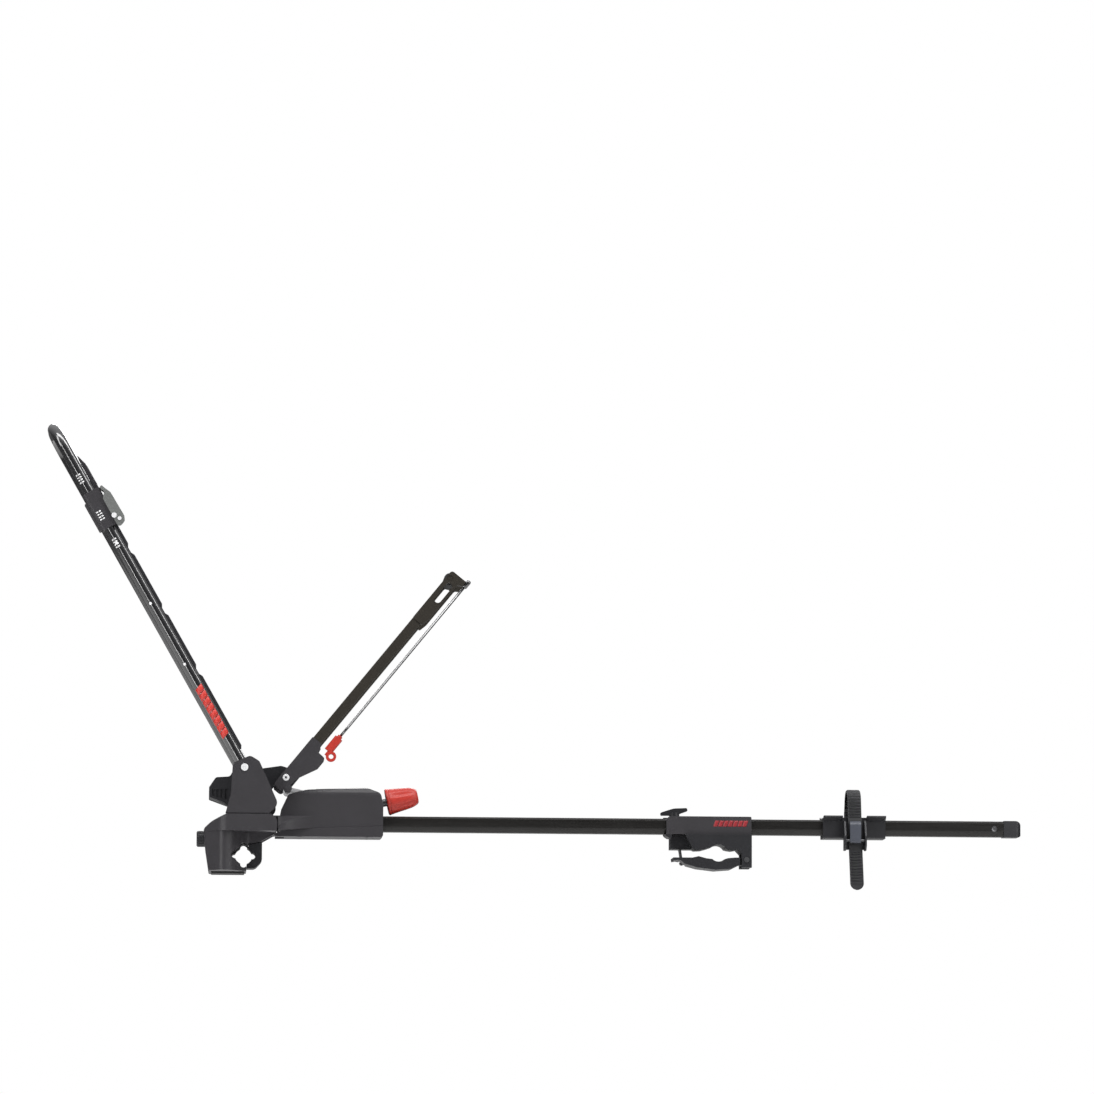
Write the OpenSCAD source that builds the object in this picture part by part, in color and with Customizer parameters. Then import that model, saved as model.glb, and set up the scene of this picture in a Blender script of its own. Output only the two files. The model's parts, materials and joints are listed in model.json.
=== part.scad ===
// Roof mounted bike carrier: an upright tray with a folding wheel hoop.
// X runs to the rear along the tray, Z is up, and Y runs across from left to right.
// The origin is on the axis of the front crossbar, half way across the carrier.

/* [Crossbars] */
// Radius of the round crossbars that both clamps hold
crossbar_r = 14.3; // [13:0.1:15]
// Number of grip lobes round the front clamp's hole
lobe_count = 4; // [3:1:6]
// Radius of one grip lobe
lobe_r = 5.4; // [4.5:0.1:5.7]
// Reach of the grip lobes from the crossbar's axis
lobe_reach = 19.5; // [18.5:0.1:20.8]
// Distance from the front crossbar to the middle one
mid_x = 786; // [560:1:800]
// Height of the middle crossbar above the front one
mid_rise = 11; // [9:0.5:13]

/* [Wheel gap] */
// Clear width between the cradle's walls
wheel_gap = 70; // [60:1:84]
// Thickness of the cradle's walls
cradle_wall = 3.5; // [2.5:0.1:5]
// Height of the trough's floor above the front crossbar
floor_z = 97; // [94:0.5:100]
// Side gap between the moving arms and their neighbours
side_gap = 0.5; // [0.3:0.1:1]

/* [Front arm] */
// Outer diameter of the hoop tube
tube_d = 20; // [18:0.5:22]
// Wall of the hoop tube
tube_wall = 2; // [1.5:0.1:3]
// Length of the arm from its pivot to the top of the hoop
arm_len = 658; // [600:1:700]
// Lean of the arm, measured from level
arm_angle = 119.8; // [112:0.2:126]
// Height of the arm's pivot above the front crossbar
pivot_z = 142.3; // [138:0.1:147]
// Bend radius at the hoop's corners
hoop_bend = 40; // [30:1:50]
// Diameter of the arm's pivot pins
pivot_d = 10; // [8:0.5:11]
// Height of the index rail above the tube
rail_h = 3.6; // [3:0.1:4]
// Width of the index rail
rail_w = 8; // [6:0.5:9]
// Spacing of the notches
notch_pitch = 115; // [108:1:117]

/* [Wheel stop] */
// Distance from the top of the hoop down to the stop's lower edge
stop_below = 203; // [198:1:213]
// Length of the stop's sleeves along the arm
stop_len = 68; // [60:1:70]
// Wall of the stop's sleeves
sleeve_wall = 2.6; // [2:0.1:3.5]
// Running gap between the sleeves and the hoop
slide_gap = 0.3; // [0.2:0.05:0.5]
// Diameter of the latch lever's pin
lever_pin_d = 5; // [4:0.5:6]

/* [Rear arm] */
// Distance from the front crossbar to the rear arm's pivot
rear_pivot_x = 68.5; // [66:0.5:72]
// Height of the rear arm's pivot
rear_pivot_z = 128.3; // [126:0.1:131]
// Lean of the rear arm, measured from level
rear_angle = 50.9; // [48:0.1:54]
// Thickness of the rear arm's castings across the carrier
rear_t = 11; // [10:0.5:12]
// Width of the rear arm's tubes
rear_tube_w = 17.4; // [15:0.2:17.6]
// Distance from the pivot to the start of the tip castings
tip_start = 338; // [320:1:345]
// Distance from the pivot to the end of the tip castings
tip_end = 440; // [430:1:450]
// Diameter of the rear arm's pivot pins
rear_pin_d = 9; // [7:0.5:10]
// Diameter of the lock cable
cable_d = 4.5; // [4:0.1:5]

/* [Tray bar] */
// Width of the bar
bar_w = 30; // [28:0.5:32]
// Height of the bar
bar_h = 25.5; // [25:0.5:27]
// Wall of the bar
bar_wall = 2; // [1.6:0.1:2.6]
// Height of the bar's underside above the front crossbar
bar_z = 42.5; // [42:0.1:43.5]
// Distance from the front crossbar to the bar's rear end
bar_end = 1264; // [1260:1:1400]
// Length of the end cap behind the bar
cap_len = 29; // [20:1:36]

/* [Head] */
// Half length of the front clamp along the crossbar
jaw_half = 30; // [27:0.5:34]
// Height of the head's deck
deck_z = 66; // [65:0.5:67]
// Thickness of the tower's cheeks
cheek_t = 6; // [4:0.5:8]
// Height of the front knob above the crossbar
knob_z = 28.8; // [28.4:0.1:29.2]
// Diameter of the front knob
knob_d = 26.5; // [24:0.5:28]
// Diameter of the clamp's threaded rod
rod_d = 8; // [6:0.5:8]
// Thickness of the foot pad
foot_pad_t = 3; // [2:0.5:4]

/* [Tension drive] */
// Wall of the cowls
cowl_wall = 2.5; // [1.8:0.1:3]
// Tilt of the tension knob's axis
knob_tilt = 11.8; // [11:0.1:12.5]
// Diameter of the spindle
spindle_d = 10; // [8:0.5:10]
// Diameter of the tension knob's large end
red_big_d = 44; // [40:0.5:46]
// Diameter of the tension knob's small end
red_small_d = 25; // [22:0.5:30]
// Length of the tension knob
red_len = 52.5; // [46:0.5:58]

/* [Middle clamp] */
// Half width of the middle clamp's jaws
mid_half = 28; // [26.5:0.5:32]
// Thickness of the housing's walls over the bar
mid_wall = 6; // [5:0.1:7]
// Thickness of the housing's roof over the bar
mid_roof = 3.4; // [2.5:0.1:5]
// Diameter of the middle clamp's bolt
mid_bolt_d = 5; // [4:0.5:6]
// Length of the wing knob
wing_len = 46; // [36:1:54]
// Diameter of the middle clamp's hinge pin
mid_pin_d = 6; // [5:0.5:7]

/* [Wheel tray] */
// Distance from the front crossbar to the strap's centre
strap_x = 1013; // [985:1:1100]
// Length of the saddle along the bar
saddle_len = 104; // [90:1:120]
// Width of the ladder strap
strap_w = 22.5; // [18:0.5:24]
// Thickness of the ladder strap
strap_t = 2.6; // [2:0.1:2.8]
// Height of the top of the strap's loop
loop_z = 118; // [112:1:130]
// Depth of the strap's tail below the front crossbar
tail_z = 50; // [30:1:54]
// Pitch of the ladder's steps
ladder_pitch = 5; // [4.5:0.5:8]

/* [Hidden] */
$fn = 48;
// Fits: running clearance on a diameter, seat clearance on a diameter, clear gap between bodies
run_fit = 0.1;
seat_fit = 0.06;
gap = 0.4;
eps = 0.01;

// Colours as on the object
charcoal = [0.24, 0.235, 0.25];
soft_black = [0.13, 0.13, 0.14];
gloss_black = [0.06, 0.06, 0.07];
satin_brown = [0.12, 0.11, 0.10];
rubber_black = [0.08, 0.08, 0.08];
signal_red = [0.80, 0.24, 0.18];
lever_grey = [0.41, 0.42, 0.41];
steel = [0.75, 0.75, 0.77];
slate = [0.33, 0.35, 0.39];

// Places across the carrier, from the wheel gap outwards
cradle_out = wheel_gap / 2 + cradle_wall;
rear_in = cradle_out + side_gap;
rear_y = rear_in + rear_t / 2;
rear_out = rear_in + rear_t;
rivet_flange_t = 1.2;
sleeve_in = rear_out + rivet_flange_t + side_gap;
leg_y = sleeve_in + sleeve_wall + slide_gap + tube_d / 2;
sleeve_out = leg_y + (leg_y - sleeve_in);
cheek_in = leg_y + tube_d / 2 + side_gap;
cheek_out = cheek_in + cheek_t;
head_half = cheek_out + 1.5;
cowl_half = rear_in - 1.5;

// Heights of the bar
bar_top = bar_z + bar_h;
bar_mid = bar_z + bar_h / 2;
lean = 4;
lean_h = 8.5;
cavity_half = bar_w / 2 - bar_wall - 1;

// Front clamp: the seat of the liner, the closing face between the jaws, the nose and the foot
// The casting stays clear of the crossbar by the relief, so that the liner alone bears on it
seat_r = lobe_reach + 1.6;
bore_relief = 1;
jaw_split = 4.6;
nose_x = -66;
foot_z = -26;
foot_front = -57;
crease_z = 38.5;
head_rear = 56;
nose_rear = -20;
nose_half = head_half - 2;
socket_start = 22;
lug_half = 14;
lug_top = knob_z + 6;
claw_x = 30.4;
nut_d = rod_d + 5;
nut_end = -18;
knob_front = -77.7;

// Tower: pedestal under the cradle
ped_front = -24;
ped_rear = 44;
ped_half = wheel_gap / 2 - 1;
ped_top = floor_z - 13;
cradle_bolt_xs = [ped_front + 18, ped_rear - 11];

// Front arm: centre line of the hoop's top, end of the tube below the pivot
hoop_u = arm_len - tube_d / 2;
leg_end = -11;
bush_d = pivot_d + 4;
rail_face = tube_d / 2 + rail_h;
notch_count = 4;
notch_flat = 5;
notch_slope = 6;
rivet_d = 4.6;
rivet_v = 3;
rivet_proud = 0.1;
rivet_lead = 20;

// Wheel stop, and the rail's notches that its latch finds
stop_start = arm_len - stop_below;
stop_end = stop_start + stop_len;
notch_start = stop_end - 1 - (notch_count - 1) * notch_pitch;
rail_u0 = 30;
rail_u1 = stop_end + 17;
stop_inner = rail_face + slide_gap + sleeve_wall;
stop_outer = tube_d / 2 + slide_gap + sleeve_wall;
pin_u = stop_start + 4.5;
right_start = stop_start + 16;
lever_t = 3;
lever_out = sleeve_out + gap + lever_t;
lug_t = 7.6;
pin_v = stop_inner + lever_pin_d / 2 + 2;
lever_end = stop_end - 1;
lever_rivet_d = 8.5;
tooth_v = rail_face + slide_gap;
pad_end = arm_len - 72;

// Rear arm
sleeve_u0 = -22;
sleeve_u1 = 80;
rear_up = 9;
rear_down = 14;
rear_tube_t = rear_t - 3;
tube_seat = 25;
tip_up = 8;
tip_down = 14.5;
tip_seat = 24;
cross_u = tip_end - 12;
cross_v = -1.5;
cross_d = 10;
cable_v = 25.5;
cable_head_d = 9;
slot_u = tip_end - 38;
slot_v = 5;
slot_len = 40;
slot_w = 11.5;
plug_u = 74;
plug_v = 35;
plug_d = 17;
plug_hole = 8;
plug_grip_d = 14.5;
link_u = -12;
link_v = 14;
link_pin_d = 6;
link_in = wheel_gap / 2 - 6;
link_t = 4;

// Tension drive: neck of the spindle at the cowl, rest place of the carriage on the spindle
neck_x = 231.3;
neck_z = 90.9;
carriage_t = -42.2;
red_start = 5;
carriage_half = 22;
trunnion_d = 8;
eye_play = 3;
cowl_front = 56;
cowl_end = 229.5;
cowl_top = 113.8;
seam_front = 41;
seam_end = 50.8;
lower_z = 32;
seam_gap = 0.3;
screw_y = cowl_half - cowl_wall - 4;
screw_xs = [92, 204];
boss_d = 9;
screw_d = 4;
skirt_half = 66;
skirt_z = 47;

// Middle clamp
mid_x0 = mid_x - 86;
mid_x1 = mid_x + 55.5;
mid_low = bar_z - gap;
mid_top = bar_top + gap + mid_roof;
mid_side = bar_w / 2 + gap + mid_wall;
bolt_y = mid_half - 6;
bolt_tilt = 8.8;
bolt_foot_x = mid_x - 57.5;
bolt_foot_z = mid_rise - 12.5;
hinge_x = mid_x + 47;
hinge_z = mid_rise - 11;
knuckle_r = 8.5;
knuckle_half = 12;
bolt_len = 88;
cross_head_d = mid_bolt_d + 2.4;
cross_head_z = 2.5;
knob_base = (mid_top - bolt_foot_z) / cos(bolt_tilt) + 6;
wing_t = 12;
block_near = -4;
block_far = mid_half + 4;

// Wheel tray
saddle_x0 = strap_x - saddle_len / 2;
saddle_x1 = strap_x + saddle_len / 2;
saddle_half = bar_w / 2 + 7;
saddle_low = 37;
saddle_rim = 71.5;
frame_w = 37;
frame_t = 3;
frame_y = saddle_half + 2;
frame_depth = 20;
strap_gap = 1;
buckle_pin_d = 4;
lever_w = frame_w - 2 * frame_t - 2 * gap - 12;
buckle_pin_z = 33;
buckle_pin_y = -(frame_y + frame_t + strap_gap + strap_t + 1.6 + 4.2);
anchor_d = 5;
anchor_y = saddle_half + 9;
anchor_z = 52;
strap_run = -(frame_y + frame_t + strap_gap);

// Outline helpers: a unit vector, an arc, a rounded corner and a rounded outline
function unit(v) = v / norm(v);
function arc(c, r, a0, a1, n = 10) = [for (i = [0:n]) let (a = a0 + (a1 - a0) * i / n) c + r * [cos(a),
    sin(a)]];
function corner(p, q, s, r, n = 5) =
  let (a = unit(p - q), b = unit(s - q), half = acos(a * b) / 2)
  let (c = q + unit(a + b) * r / sin(half), t0 = q + a * r / tan(half) - c,
      t1 = q + b * r / tan(half) - c)
  let (a0 = atan2(t0[1], t0[0]), turn = (atan2(t1[1], t1[0]) - a0 + 540) % 360 - 180)
  arc(c, r, a0, a0 + turn, n);
function rounded(pts, radii) = [
  for (i = [0:len(pts) - 1])
    let (n = len(pts), p = pts[(i + n - 1) % n], s = pts[(i + 1) % n])
    each (radii[i] > 0 ? corner(p, pts[i], s, radii[i]) : [pts[i]])
];
function flipped(pts) = [for (i = [len(pts) - 1:-1:0]) [-pts[i][0], pts[i][1]]];

// Placing helpers: extrusions along Y and X, cylinders along Y and X, and mirrored copies
module along_y(y0, y1) {
  translate([0, y1, 0]) rotate([90, 0, 0]) linear_extrude(y1 - y0) children();
}
module along_x(x0, x1) {
  translate([x0, 0, 0]) rotate([90, 0, 90]) linear_extrude(x1 - x0) children();
}
module cyl_y(d, y0, y1) {
  translate([0, y1, 0]) rotate([90, 0, 0]) cylinder(d = d, h = y1 - y0);
}
module cyl_x(d, x0, x1) {
  translate([x0, 0, 0]) rotate([0, 90, 0]) cylinder(d = d, h = x1 - x0);
}
module box(x0, x1, y0, y1, z0, z1) {
  translate([x0, y0, z0]) cube([x1 - x0, y1 - y0, z1 - z0]);
}
module both_sides() {
  children();
  mirror([0, 1, 0]) children();
}
// Frames of the moving parts: u runs along an arm, and -z faces the wheel (front) or the ground (rear)
module on_front_arm() {
  translate([0, 0, pivot_z]) rotate([0, -arm_angle, 0]) children();
}
module on_rear_arm() {
  translate([rear_pivot_x, 0, rear_pivot_z]) rotate([0, -rear_angle, 0]) children();
}
module on_spindle() {
  translate([neck_x, 0, neck_z]) rotate([0, -knob_tilt, 0]) children();
}
module on_mid_bolt() {
  translate([bolt_foot_x, bolt_y, bolt_foot_z]) rotate([0, -bolt_tilt, 0]) children();
}

// Front clamp
module flower(grow = 0) {
  circle(r = crossbar_r + grow);
  for (i = [0:lobe_count - 1])
    rotate(360 / lobe_count * i) translate([lobe_reach - lobe_r, 0]) circle(r = lobe_r + grow);
}
function head_plan(half, rear, shoulder_r, rear_r) = rounded(
  [[nose_x, -half * 0.56], [-36, -half], [rear, -half], [rear, half], [-36, half], [nose_x, half * 0.56]],
  [14, shoulder_r, rear_r, rear_r, shoulder_r, 14]);
module head_upper() {
  side = rounded(
    [[nose_x, crease_z], [nose_x, crease_z + 5], [-53, deck_z - 11.5], [-29, deck_z],
     [head_rear - 1, deck_z], [head_rear - 2, crease_z]],
    [0, 9, 40, 20, 14, 4]);
  intersection() {
    along_y(-head_half, head_half) polygon(side);
    linear_extrude(deck_z + 1) polygon(head_plan(head_half, head_rear + 6, 20, 10));
  }
}
// Below the crease the body narrows from the nose to the clamp in one sweep on both sides
function sweep_plan() = rounded(
  concat(sweep_half(), [for (i = [len(sweep_half()) - 1:-1:0]) [sweep_half()[i][0], -sweep_half()[i][1]]]),
  [14, 10, 26, 14, 0, 0, 14, 26, 10, 14]);
function sweep_half() = [[nose_x, -nose_half * 0.56], [-36, -nose_half], [nose_rear, -nose_half + 8],
  [jaw_split + 2, -jaw_half - 6], [head_rear - 4, -jaw_half]];
module head_lower() {
  side = rounded(
    [[nose_x, crease_z + 1], [nose_x + 3, 11], [foot_front, foot_z], [jaw_split, foot_z], [jaw_split, 0],
     [8, 20], [28, 23.4], [head_rear - 5, crease_z - 2], [head_rear - 5, crease_z + 1]],
    [0, 0, 2, 0, 0, 0, 8, 2, 0]);
  intersection() {
    along_y(-nose_half, nose_half) polygon(side);
    translate([0, 0, foot_z - 1]) linear_extrude(deck_z - foot_z) polygon(sweep_plan());
  }
}
module head_body() {
  color(charcoal) difference() {
    union() {
      head_upper();
      head_lower();
      box(ped_front, ped_rear, -ped_half, ped_half, deck_z - 2, ped_top);
    }
    // Seat of the jaw liner and the crossbar's way through
    along_y(-jaw_half, jaw_half) circle(r = seat_r + seat_fit / 2);
    along_y(-nose_half - 1, nose_half + 1) flower(bore_relief);
    // Slot for the sliding jaw's lug, open to the rear
    box(-2, head_rear + 10, -lug_half - gap, lug_half + gap, 15, lug_top + gap);
    // Bores for the knob's nut and the rod, and the knob's recess
    translate([0, 0, knob_z]) cyl_x(nut_d + run_fit, nose_x - 5, nut_end + gap);
    translate([0, 0, knob_z]) cyl_x(rod_d + 2 * gap, nut_end - 1, 0);
    translate([0, 0, knob_z]) cyl_x(knob_d + 2, nose_x - 20, nose_x + 5);
    // Socket for the tray bar
    box(socket_start, head_rear + 10, -bar_w / 2 - seat_fit / 2, bar_w / 2 + seat_fit / 2,
        bar_z - seat_fit / 2, bar_top + seat_fit / 2);
    // Holes for the cradle's bolts and the cheeks' screws
    cradle_bolt_places() translate([0, 0, 58]) cylinder(d = 8 + seat_fit, h = ped_top);
    cheek_screw_places() translate([0, 0, deck_z - 12]) cylinder(d = 5 + seat_fit, h = 20);
  }
}
module foot_pad() {
  color(rubber_black) box(foot_front + 4, jaw_split - 3, -jaw_half + 4, jaw_half - 4,
      foot_z - foot_pad_t, foot_z);
}
module front_jaw_liner() {
  color(rubber_black) along_y(-jaw_half, jaw_half) difference() {
    intersection() {
      circle(r = seat_r);
      translate([-2 * seat_r, -2 * seat_r]) square([2 * seat_r + jaw_split - 0.2, 4 * seat_r]);
    }
    flower();
  }
}
module rear_jaw() {
  hook = rounded(
    [[jaw_split + 0.6, -seat_r + 0.6], [19, -seat_r + 0.6], [claw_x, -8], [claw_x, 22.8], [10, 19.4],
     [jaw_split + 0.6, 12]],
    [0, 10, 10, 3, 0, 0]);
  color(soft_black) difference() {
    union() {
      along_y(-jaw_half + 8, jaw_half - 8) difference() {
        polygon(hook);
        flower();
      }
      box(14, claw_x, -lug_half, lug_half, lobe_reach - 1, lug_top);
    }
    translate([0, 0, knob_z]) cyl_x(rod_d + seat_fit, 0, claw_x + 1);
  }
}
module clamp_rod() {
  color(steel) translate([0, 0, knob_z]) cyl_x(rod_d, knob_front + 6, claw_x - 2);
}
module knob_nut() {
  color(steel) translate([0, 0, knob_z]) difference() {
    cyl_x(nut_d, knob_front + 3, nut_end);
    cyl_x(rod_d + 2 * run_fit, knob_front, nut_end + 1);
  }
}
module front_knob() {
  ribs = 20;
  color(soft_black) translate([0, 0, knob_z]) difference() {
    union() {
      cyl_x(knob_d, knob_front + 2, nose_x + 4);
      translate([knob_front, 0, 0]) rotate([0, 90, 0]) cylinder(d1 = knob_d - 4, d2 = knob_d, h = 2);
    }
    cyl_x(nut_d + seat_fit, knob_front + 3, nose_x + 5);
    for (i = [0:ribs - 1])
      rotate([360 / ribs * i, 0, 0]) translate([0, 0, knob_d / 2 + 0.4]) cyl_x(2.4, knob_front - 1,
          nose_x + 1);
  }
}

// Tower and wheel cradle
module cheek_screw_places() {
  both_sides() for (x = [-14, 30]) translate([x, -cheek_in + 12, 0]) children();
}
module cheek() {
  shield = rounded(
    [[-31, deck_z], [40, deck_z], [56, deck_z + 16], [24, pivot_z + 10.5], [9, pivot_z + 19.5],
     [-17, pivot_z + 8], [-19.8, pivot_z + 2], [-22.4, 97]],
    [1, 14, 12, 9, 8, 3, 4, 20]);
  color(charcoal) difference() {
    union() {
      along_y(-cheek_out, -cheek_in) polygon(shield);
      box(-24, 40, -cheek_in - 1, -cheek_in + 22, deck_z, deck_z + 4);
      along_y(-cheek_in - 1, -cheek_in + 20)
        polygon([[5, deck_z], [11, deck_z], [11, deck_z + 52], [5, deck_z + 52]]);
    }
    translate([0, 0, pivot_z]) cyl_y(pivot_d + seat_fit, -cheek_out - 1, -cheek_in + 1);
    cheek_screw_places() translate([0, 0, deck_z - 1]) cylinder(d = 5 + seat_fit, h = 10);
  }
}
module left_cheek() {
  cheek();
}
module right_cheek() {
  mirror([0, 1, 0]) cheek();
}
module cheek_screws() {
  color(steel) cheek_screw_places() {
    translate([0, 0, deck_z - 11]) cylinder(d = 5, h = 15);
    translate([0, 0, deck_z + 4]) cylinder(d = 9, h = 3);
  }
}
module cradle_bolt_places() {
  for (x = cradle_bolt_xs) translate([x, 0, 0]) children();
}
module wheel_cradle() {
  rx = rear_pivot_x;
  rz = rear_pivot_z;
  wall = rounded(
    [[-58, floor_z - 1], [-25, ped_top], [ped_rear, ped_top], [ped_rear, 112], [rx - 13, rz - 4],
     [rx, rz - 13],
     [rx + 12, rz - 8], [rx + 13, rz + 7], [rx + 2, rz + 17], [rx - 8, rz + 20], [27, pivot_z + 1],
     [12, pivot_z + 10], [-4, pivot_z + 12], [-15, pivot_z + 4], [-24, 130], [-47, 128.5], [-58, 112]],
    [2, 4, 2, 6, 4, 6, 6, 6, 6, 8, 10, 8, 8, 8, 6, 6, 4]);
  floor_side = [[-57, floor_z], [-25, ped_top], [ped_rear, ped_top], [ped_rear, floor_z + 1.5],
    [20, floor_z], [-20, floor_z], [-40, floor_z + 1.5], [-57, floor_z + 4.5]];
  pocket_w = 5;
  color(soft_black) difference() {
    union() {
      both_sides() along_y(-cradle_out, -wheel_gap / 2) polygon(wall);
      along_y(-wheel_gap / 2 - eps, wheel_gap / 2 + eps) polygon(floor_side);
      // Bosses that carry the front arm's pins out to the legs
      both_sides() translate([0, 0, pivot_z])
        cyl_y(bush_d + 6, -leg_y + tube_d / 2 + side_gap, -wheel_gap / 2 - eps);
    }
    both_sides() translate([0, 0, pivot_z]) cyl_y(pivot_d + seat_fit, -leg_y, -wheel_gap / 2 + 1);
    both_sides() translate([rx, 0, rz]) cyl_y(rear_pin_d + seat_fit, -cradle_out - 1, -wheel_gap / 2 + 1);
    // Pockets between the ribs of the front lip
    both_sides() for (i = [0:3])
      along_y(-cradle_out - 1, -wheel_gap / 2 - 0.8)
        polygon([[-53 + 7 * i, floor_z + 1 - 1.6 * i], [-53 + pocket_w + 7 * i, floor_z - 0.2 - 1.6 * i],
          [-53 + pocket_w + 7 * i, 109], [-53 + 7 * i, 109]]);
    cradle_bolt_places() {
      translate([0, 0, ped_top - 1]) cylinder(d = 8 + seat_fit, h = 30);
      translate([0, 0, floor_z - 6]) cylinder(d = 14, h = 10);
    }
  }
}
module cradle_bolts() {
  color(steel) cradle_bolt_places() {
    translate([0, 0, 60]) cylinder(d = 8, h = floor_z - 6 - 60);
    translate([0, 0, floor_z - 6]) cylinder(d = 13, h = 5, $fn = 6);
  }
}
module front_pivot_pins() {
  color(steel) both_sides() translate([0, 0, pivot_z]) {
    cyl_y(pivot_d, -cheek_out, -wheel_gap / 2);
    cyl_y(pivot_d + 2, -cheek_out - 1.6, -cheek_out);
  }
}
module rear_pivot_pins() {
  color(steel) both_sides() translate([rear_pivot_x, 0, rear_pivot_z]) difference() {
    union() {
      cyl_y(rear_pin_d, -rear_out - 0.2, -wheel_gap / 2);
      cyl_y(rear_pin_d + 2, -rear_out - rivet_flange_t, -rear_out - 0.2);
    }
    cyl_y(rear_pin_d / 2, -rear_out - 5, -rear_in);
  }
}

// Tray bar and its end cap
function bar_half() = [[0, 0], [bar_w / 2 - lean - 1, 0], [bar_w / 2 - lean, 1], [bar_w / 2, lean_h],
  [bar_w / 2, bar_h - 3], [bar_w / 2 - 3, bar_h], [0, bar_h]];
function bar_cavity() = [[0, bar_wall], [bar_w / 2 - lean - bar_wall - 0.5, bar_wall], [cavity_half, lean_h],
  [cavity_half, bar_h - bar_wall - 3], [0, bar_h - bar_wall - 3]];
module bar_outline() {
  translate([0, bar_z]) {
    polygon(bar_half());
    polygon(flipped(bar_half()));
  }
}
module tray_bar() {
  color(gloss_black) difference() {
    along_x(socket_start + 0.5, bar_end) difference() {
      bar_outline();
      translate([0, bar_z]) {
        polygon(bar_cavity());
        polygon(flipped(bar_cavity()));
      }
      translate([-4, bar_top - bar_wall - 4]) square([8, bar_wall + 5]);
    }
    translate([cradle_bolt_xs[1], 0, bar_z - 1]) cylinder(d = 8 + seat_fit, h = bar_h + 2);
    translate([cap_screw_x(), 0, bar_mid]) cyl_y(4 + seat_fit, -bar_w, 0);
  }
}
function cap_screw_x() = bar_end - 16;
module bar_end_cap() {
  spig_w = 2 * cavity_half - 2 * seat_fit;
  lip = 0.8;
  side = rounded(
    [[bar_end, bar_z - lip], [bar_end + cap_len, bar_z - lip], [bar_end + cap_len, bar_top + lip],
     [bar_end, bar_top + lip]],
    [0, 5, 9, 0]);
  plan = rounded(
    [[bar_end, -bar_w / 2 - lip], [bar_end + cap_len, -bar_w / 2 - lip],
     [bar_end + cap_len, bar_w / 2 + lip],
     [bar_end, bar_w / 2 + lip]],
    [0, 8, 8, 0]);
  color(soft_black) difference() {
    union() {
      intersection() {
        along_y(-bar_w, bar_w) polygon(side);
        linear_extrude(bar_top + 10) polygon(plan);
      }
      box(bar_end - 30, bar_end + 1, -spig_w / 2, spig_w / 2, bar_z + lean_h + seat_fit,
          bar_top - bar_wall - 3 - seat_fit);
    }
    translate([cap_screw_x(), 0, bar_mid]) cyl_y(4 + seat_fit, -bar_w, 0);
  }
}
module cap_screw() {
  color(steel) translate([cap_screw_x(), 0, bar_mid]) {
    cyl_y(4, -bar_w / 2, -3);
    cyl_y(9, -bar_w / 2 - 1.8, -bar_w / 2);
  }
}

// Cowls and the tension drive
function seam_z(x) = x < 122 ? seam_front + (x - cowl_front) / (122 - cowl_front) * (47.4 - seam_front)
  : 47.4 + (x - 122) / (cowl_end - 122) * (seam_end - 47.4);
function cowl_side(i, low) = rounded(
  [[cowl_front + i, seam_z(cowl_front) - low], [cowl_front + 5 + i, 76], [73 + i, 101.6 - i],
   [105, 110.2 - i],
   [202, cowl_top - i], [cowl_end - 4 - i, cowl_top - 9 - i], [cowl_end - i, 84],
   [cowl_end - i, seam_z(cowl_end) - low],
   [122, seam_z(122) - low]],
  [0, 6, 6, 20, 20, 10, 10, 0, 0]);
module cowl_section(i) {
  r = 13 - i;
  polygon(rounded(
    [[-cowl_half + i, 0], [cowl_half - i, 0], [cowl_half - i, cowl_top - i],
     [-cowl_half + i, cowl_top - i]],
    [0, 0, r, r]));
}
module cowl_form(i, low) {
  intersection() {
    along_y(-cowl_half + i, cowl_half - i) polygon(cowl_side(i, low));
    along_x(cowl_front - 20, cowl_end + 20) cowl_section(i);
  }
}
module cowl_screw_places() {
  both_sides() for (x = screw_xs) translate([x, -screw_y, 0]) children();
}
// Skirt that sweeps out from the cowl to the back of the head
module cowl_skirt() {
  plan = [[cowl_front, 0], [cowl_front, skirt_half], [cowl_front + 6, skirt_half - 6],
    [cowl_front + 16, cowl_half + 13.5], [cowl_front + 30, cowl_half + 6.5],
    [cowl_front + 46, cowl_half + 2], [cowl_front + 62, cowl_half - 0.2], [cowl_front + 62, 0]];
  slope = [[cowl_half - cowl_wall, deck_z], [cowl_half, deck_z], [skirt_half, skirt_z],
    [skirt_half, seam_front - 2], [cowl_half - cowl_wall, seam_front - 2]];
  seam = [[cowl_front, seam_z(cowl_front)], [cowl_front + 70, seam_z(cowl_front + 70)],
    [cowl_front + 70, deck_z + 1], [cowl_front, deck_z + 1]];
  both_sides() intersection() {
    linear_extrude(deck_z + 1) polygon(plan);
    along_x(cowl_front - 1, cowl_front + 70) polygon(slope);
    along_y(0, skirt_half + 1) polygon(seam);
  }
}
module upper_cowl() {
  color(charcoal) difference() {
    union() {
      difference() {
        cowl_form(0, 0);
        cowl_form(cowl_wall, 5);
      }
      intersection() {
        cowl_screw_places() translate([0, 0, lower_z]) cylinder(d = boss_d, h = 36);
        cowl_form(0, 0);
      }
      cowl_skirt();
    }
    // Slots where the pull links come out, and the spindle's hole
    both_sides() box(cowl_front - 10, 118, -link_in - link_t - 1.4, -link_in + 1.4, 72, cowl_top + 5);
    on_spindle() cyl_x(spindle_d + 4, -20, 20);
    head_clear();
    cowl_screw_places() translate([0, 0, lower_z]) cylinder(d = screw_d + seat_fit, h = 33);
    box(cowl_front - 10, cowl_end + 5, -bar_w / 2 - gap, bar_w / 2 + gap, lower_z, bar_top + gap);
  }
}
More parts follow.
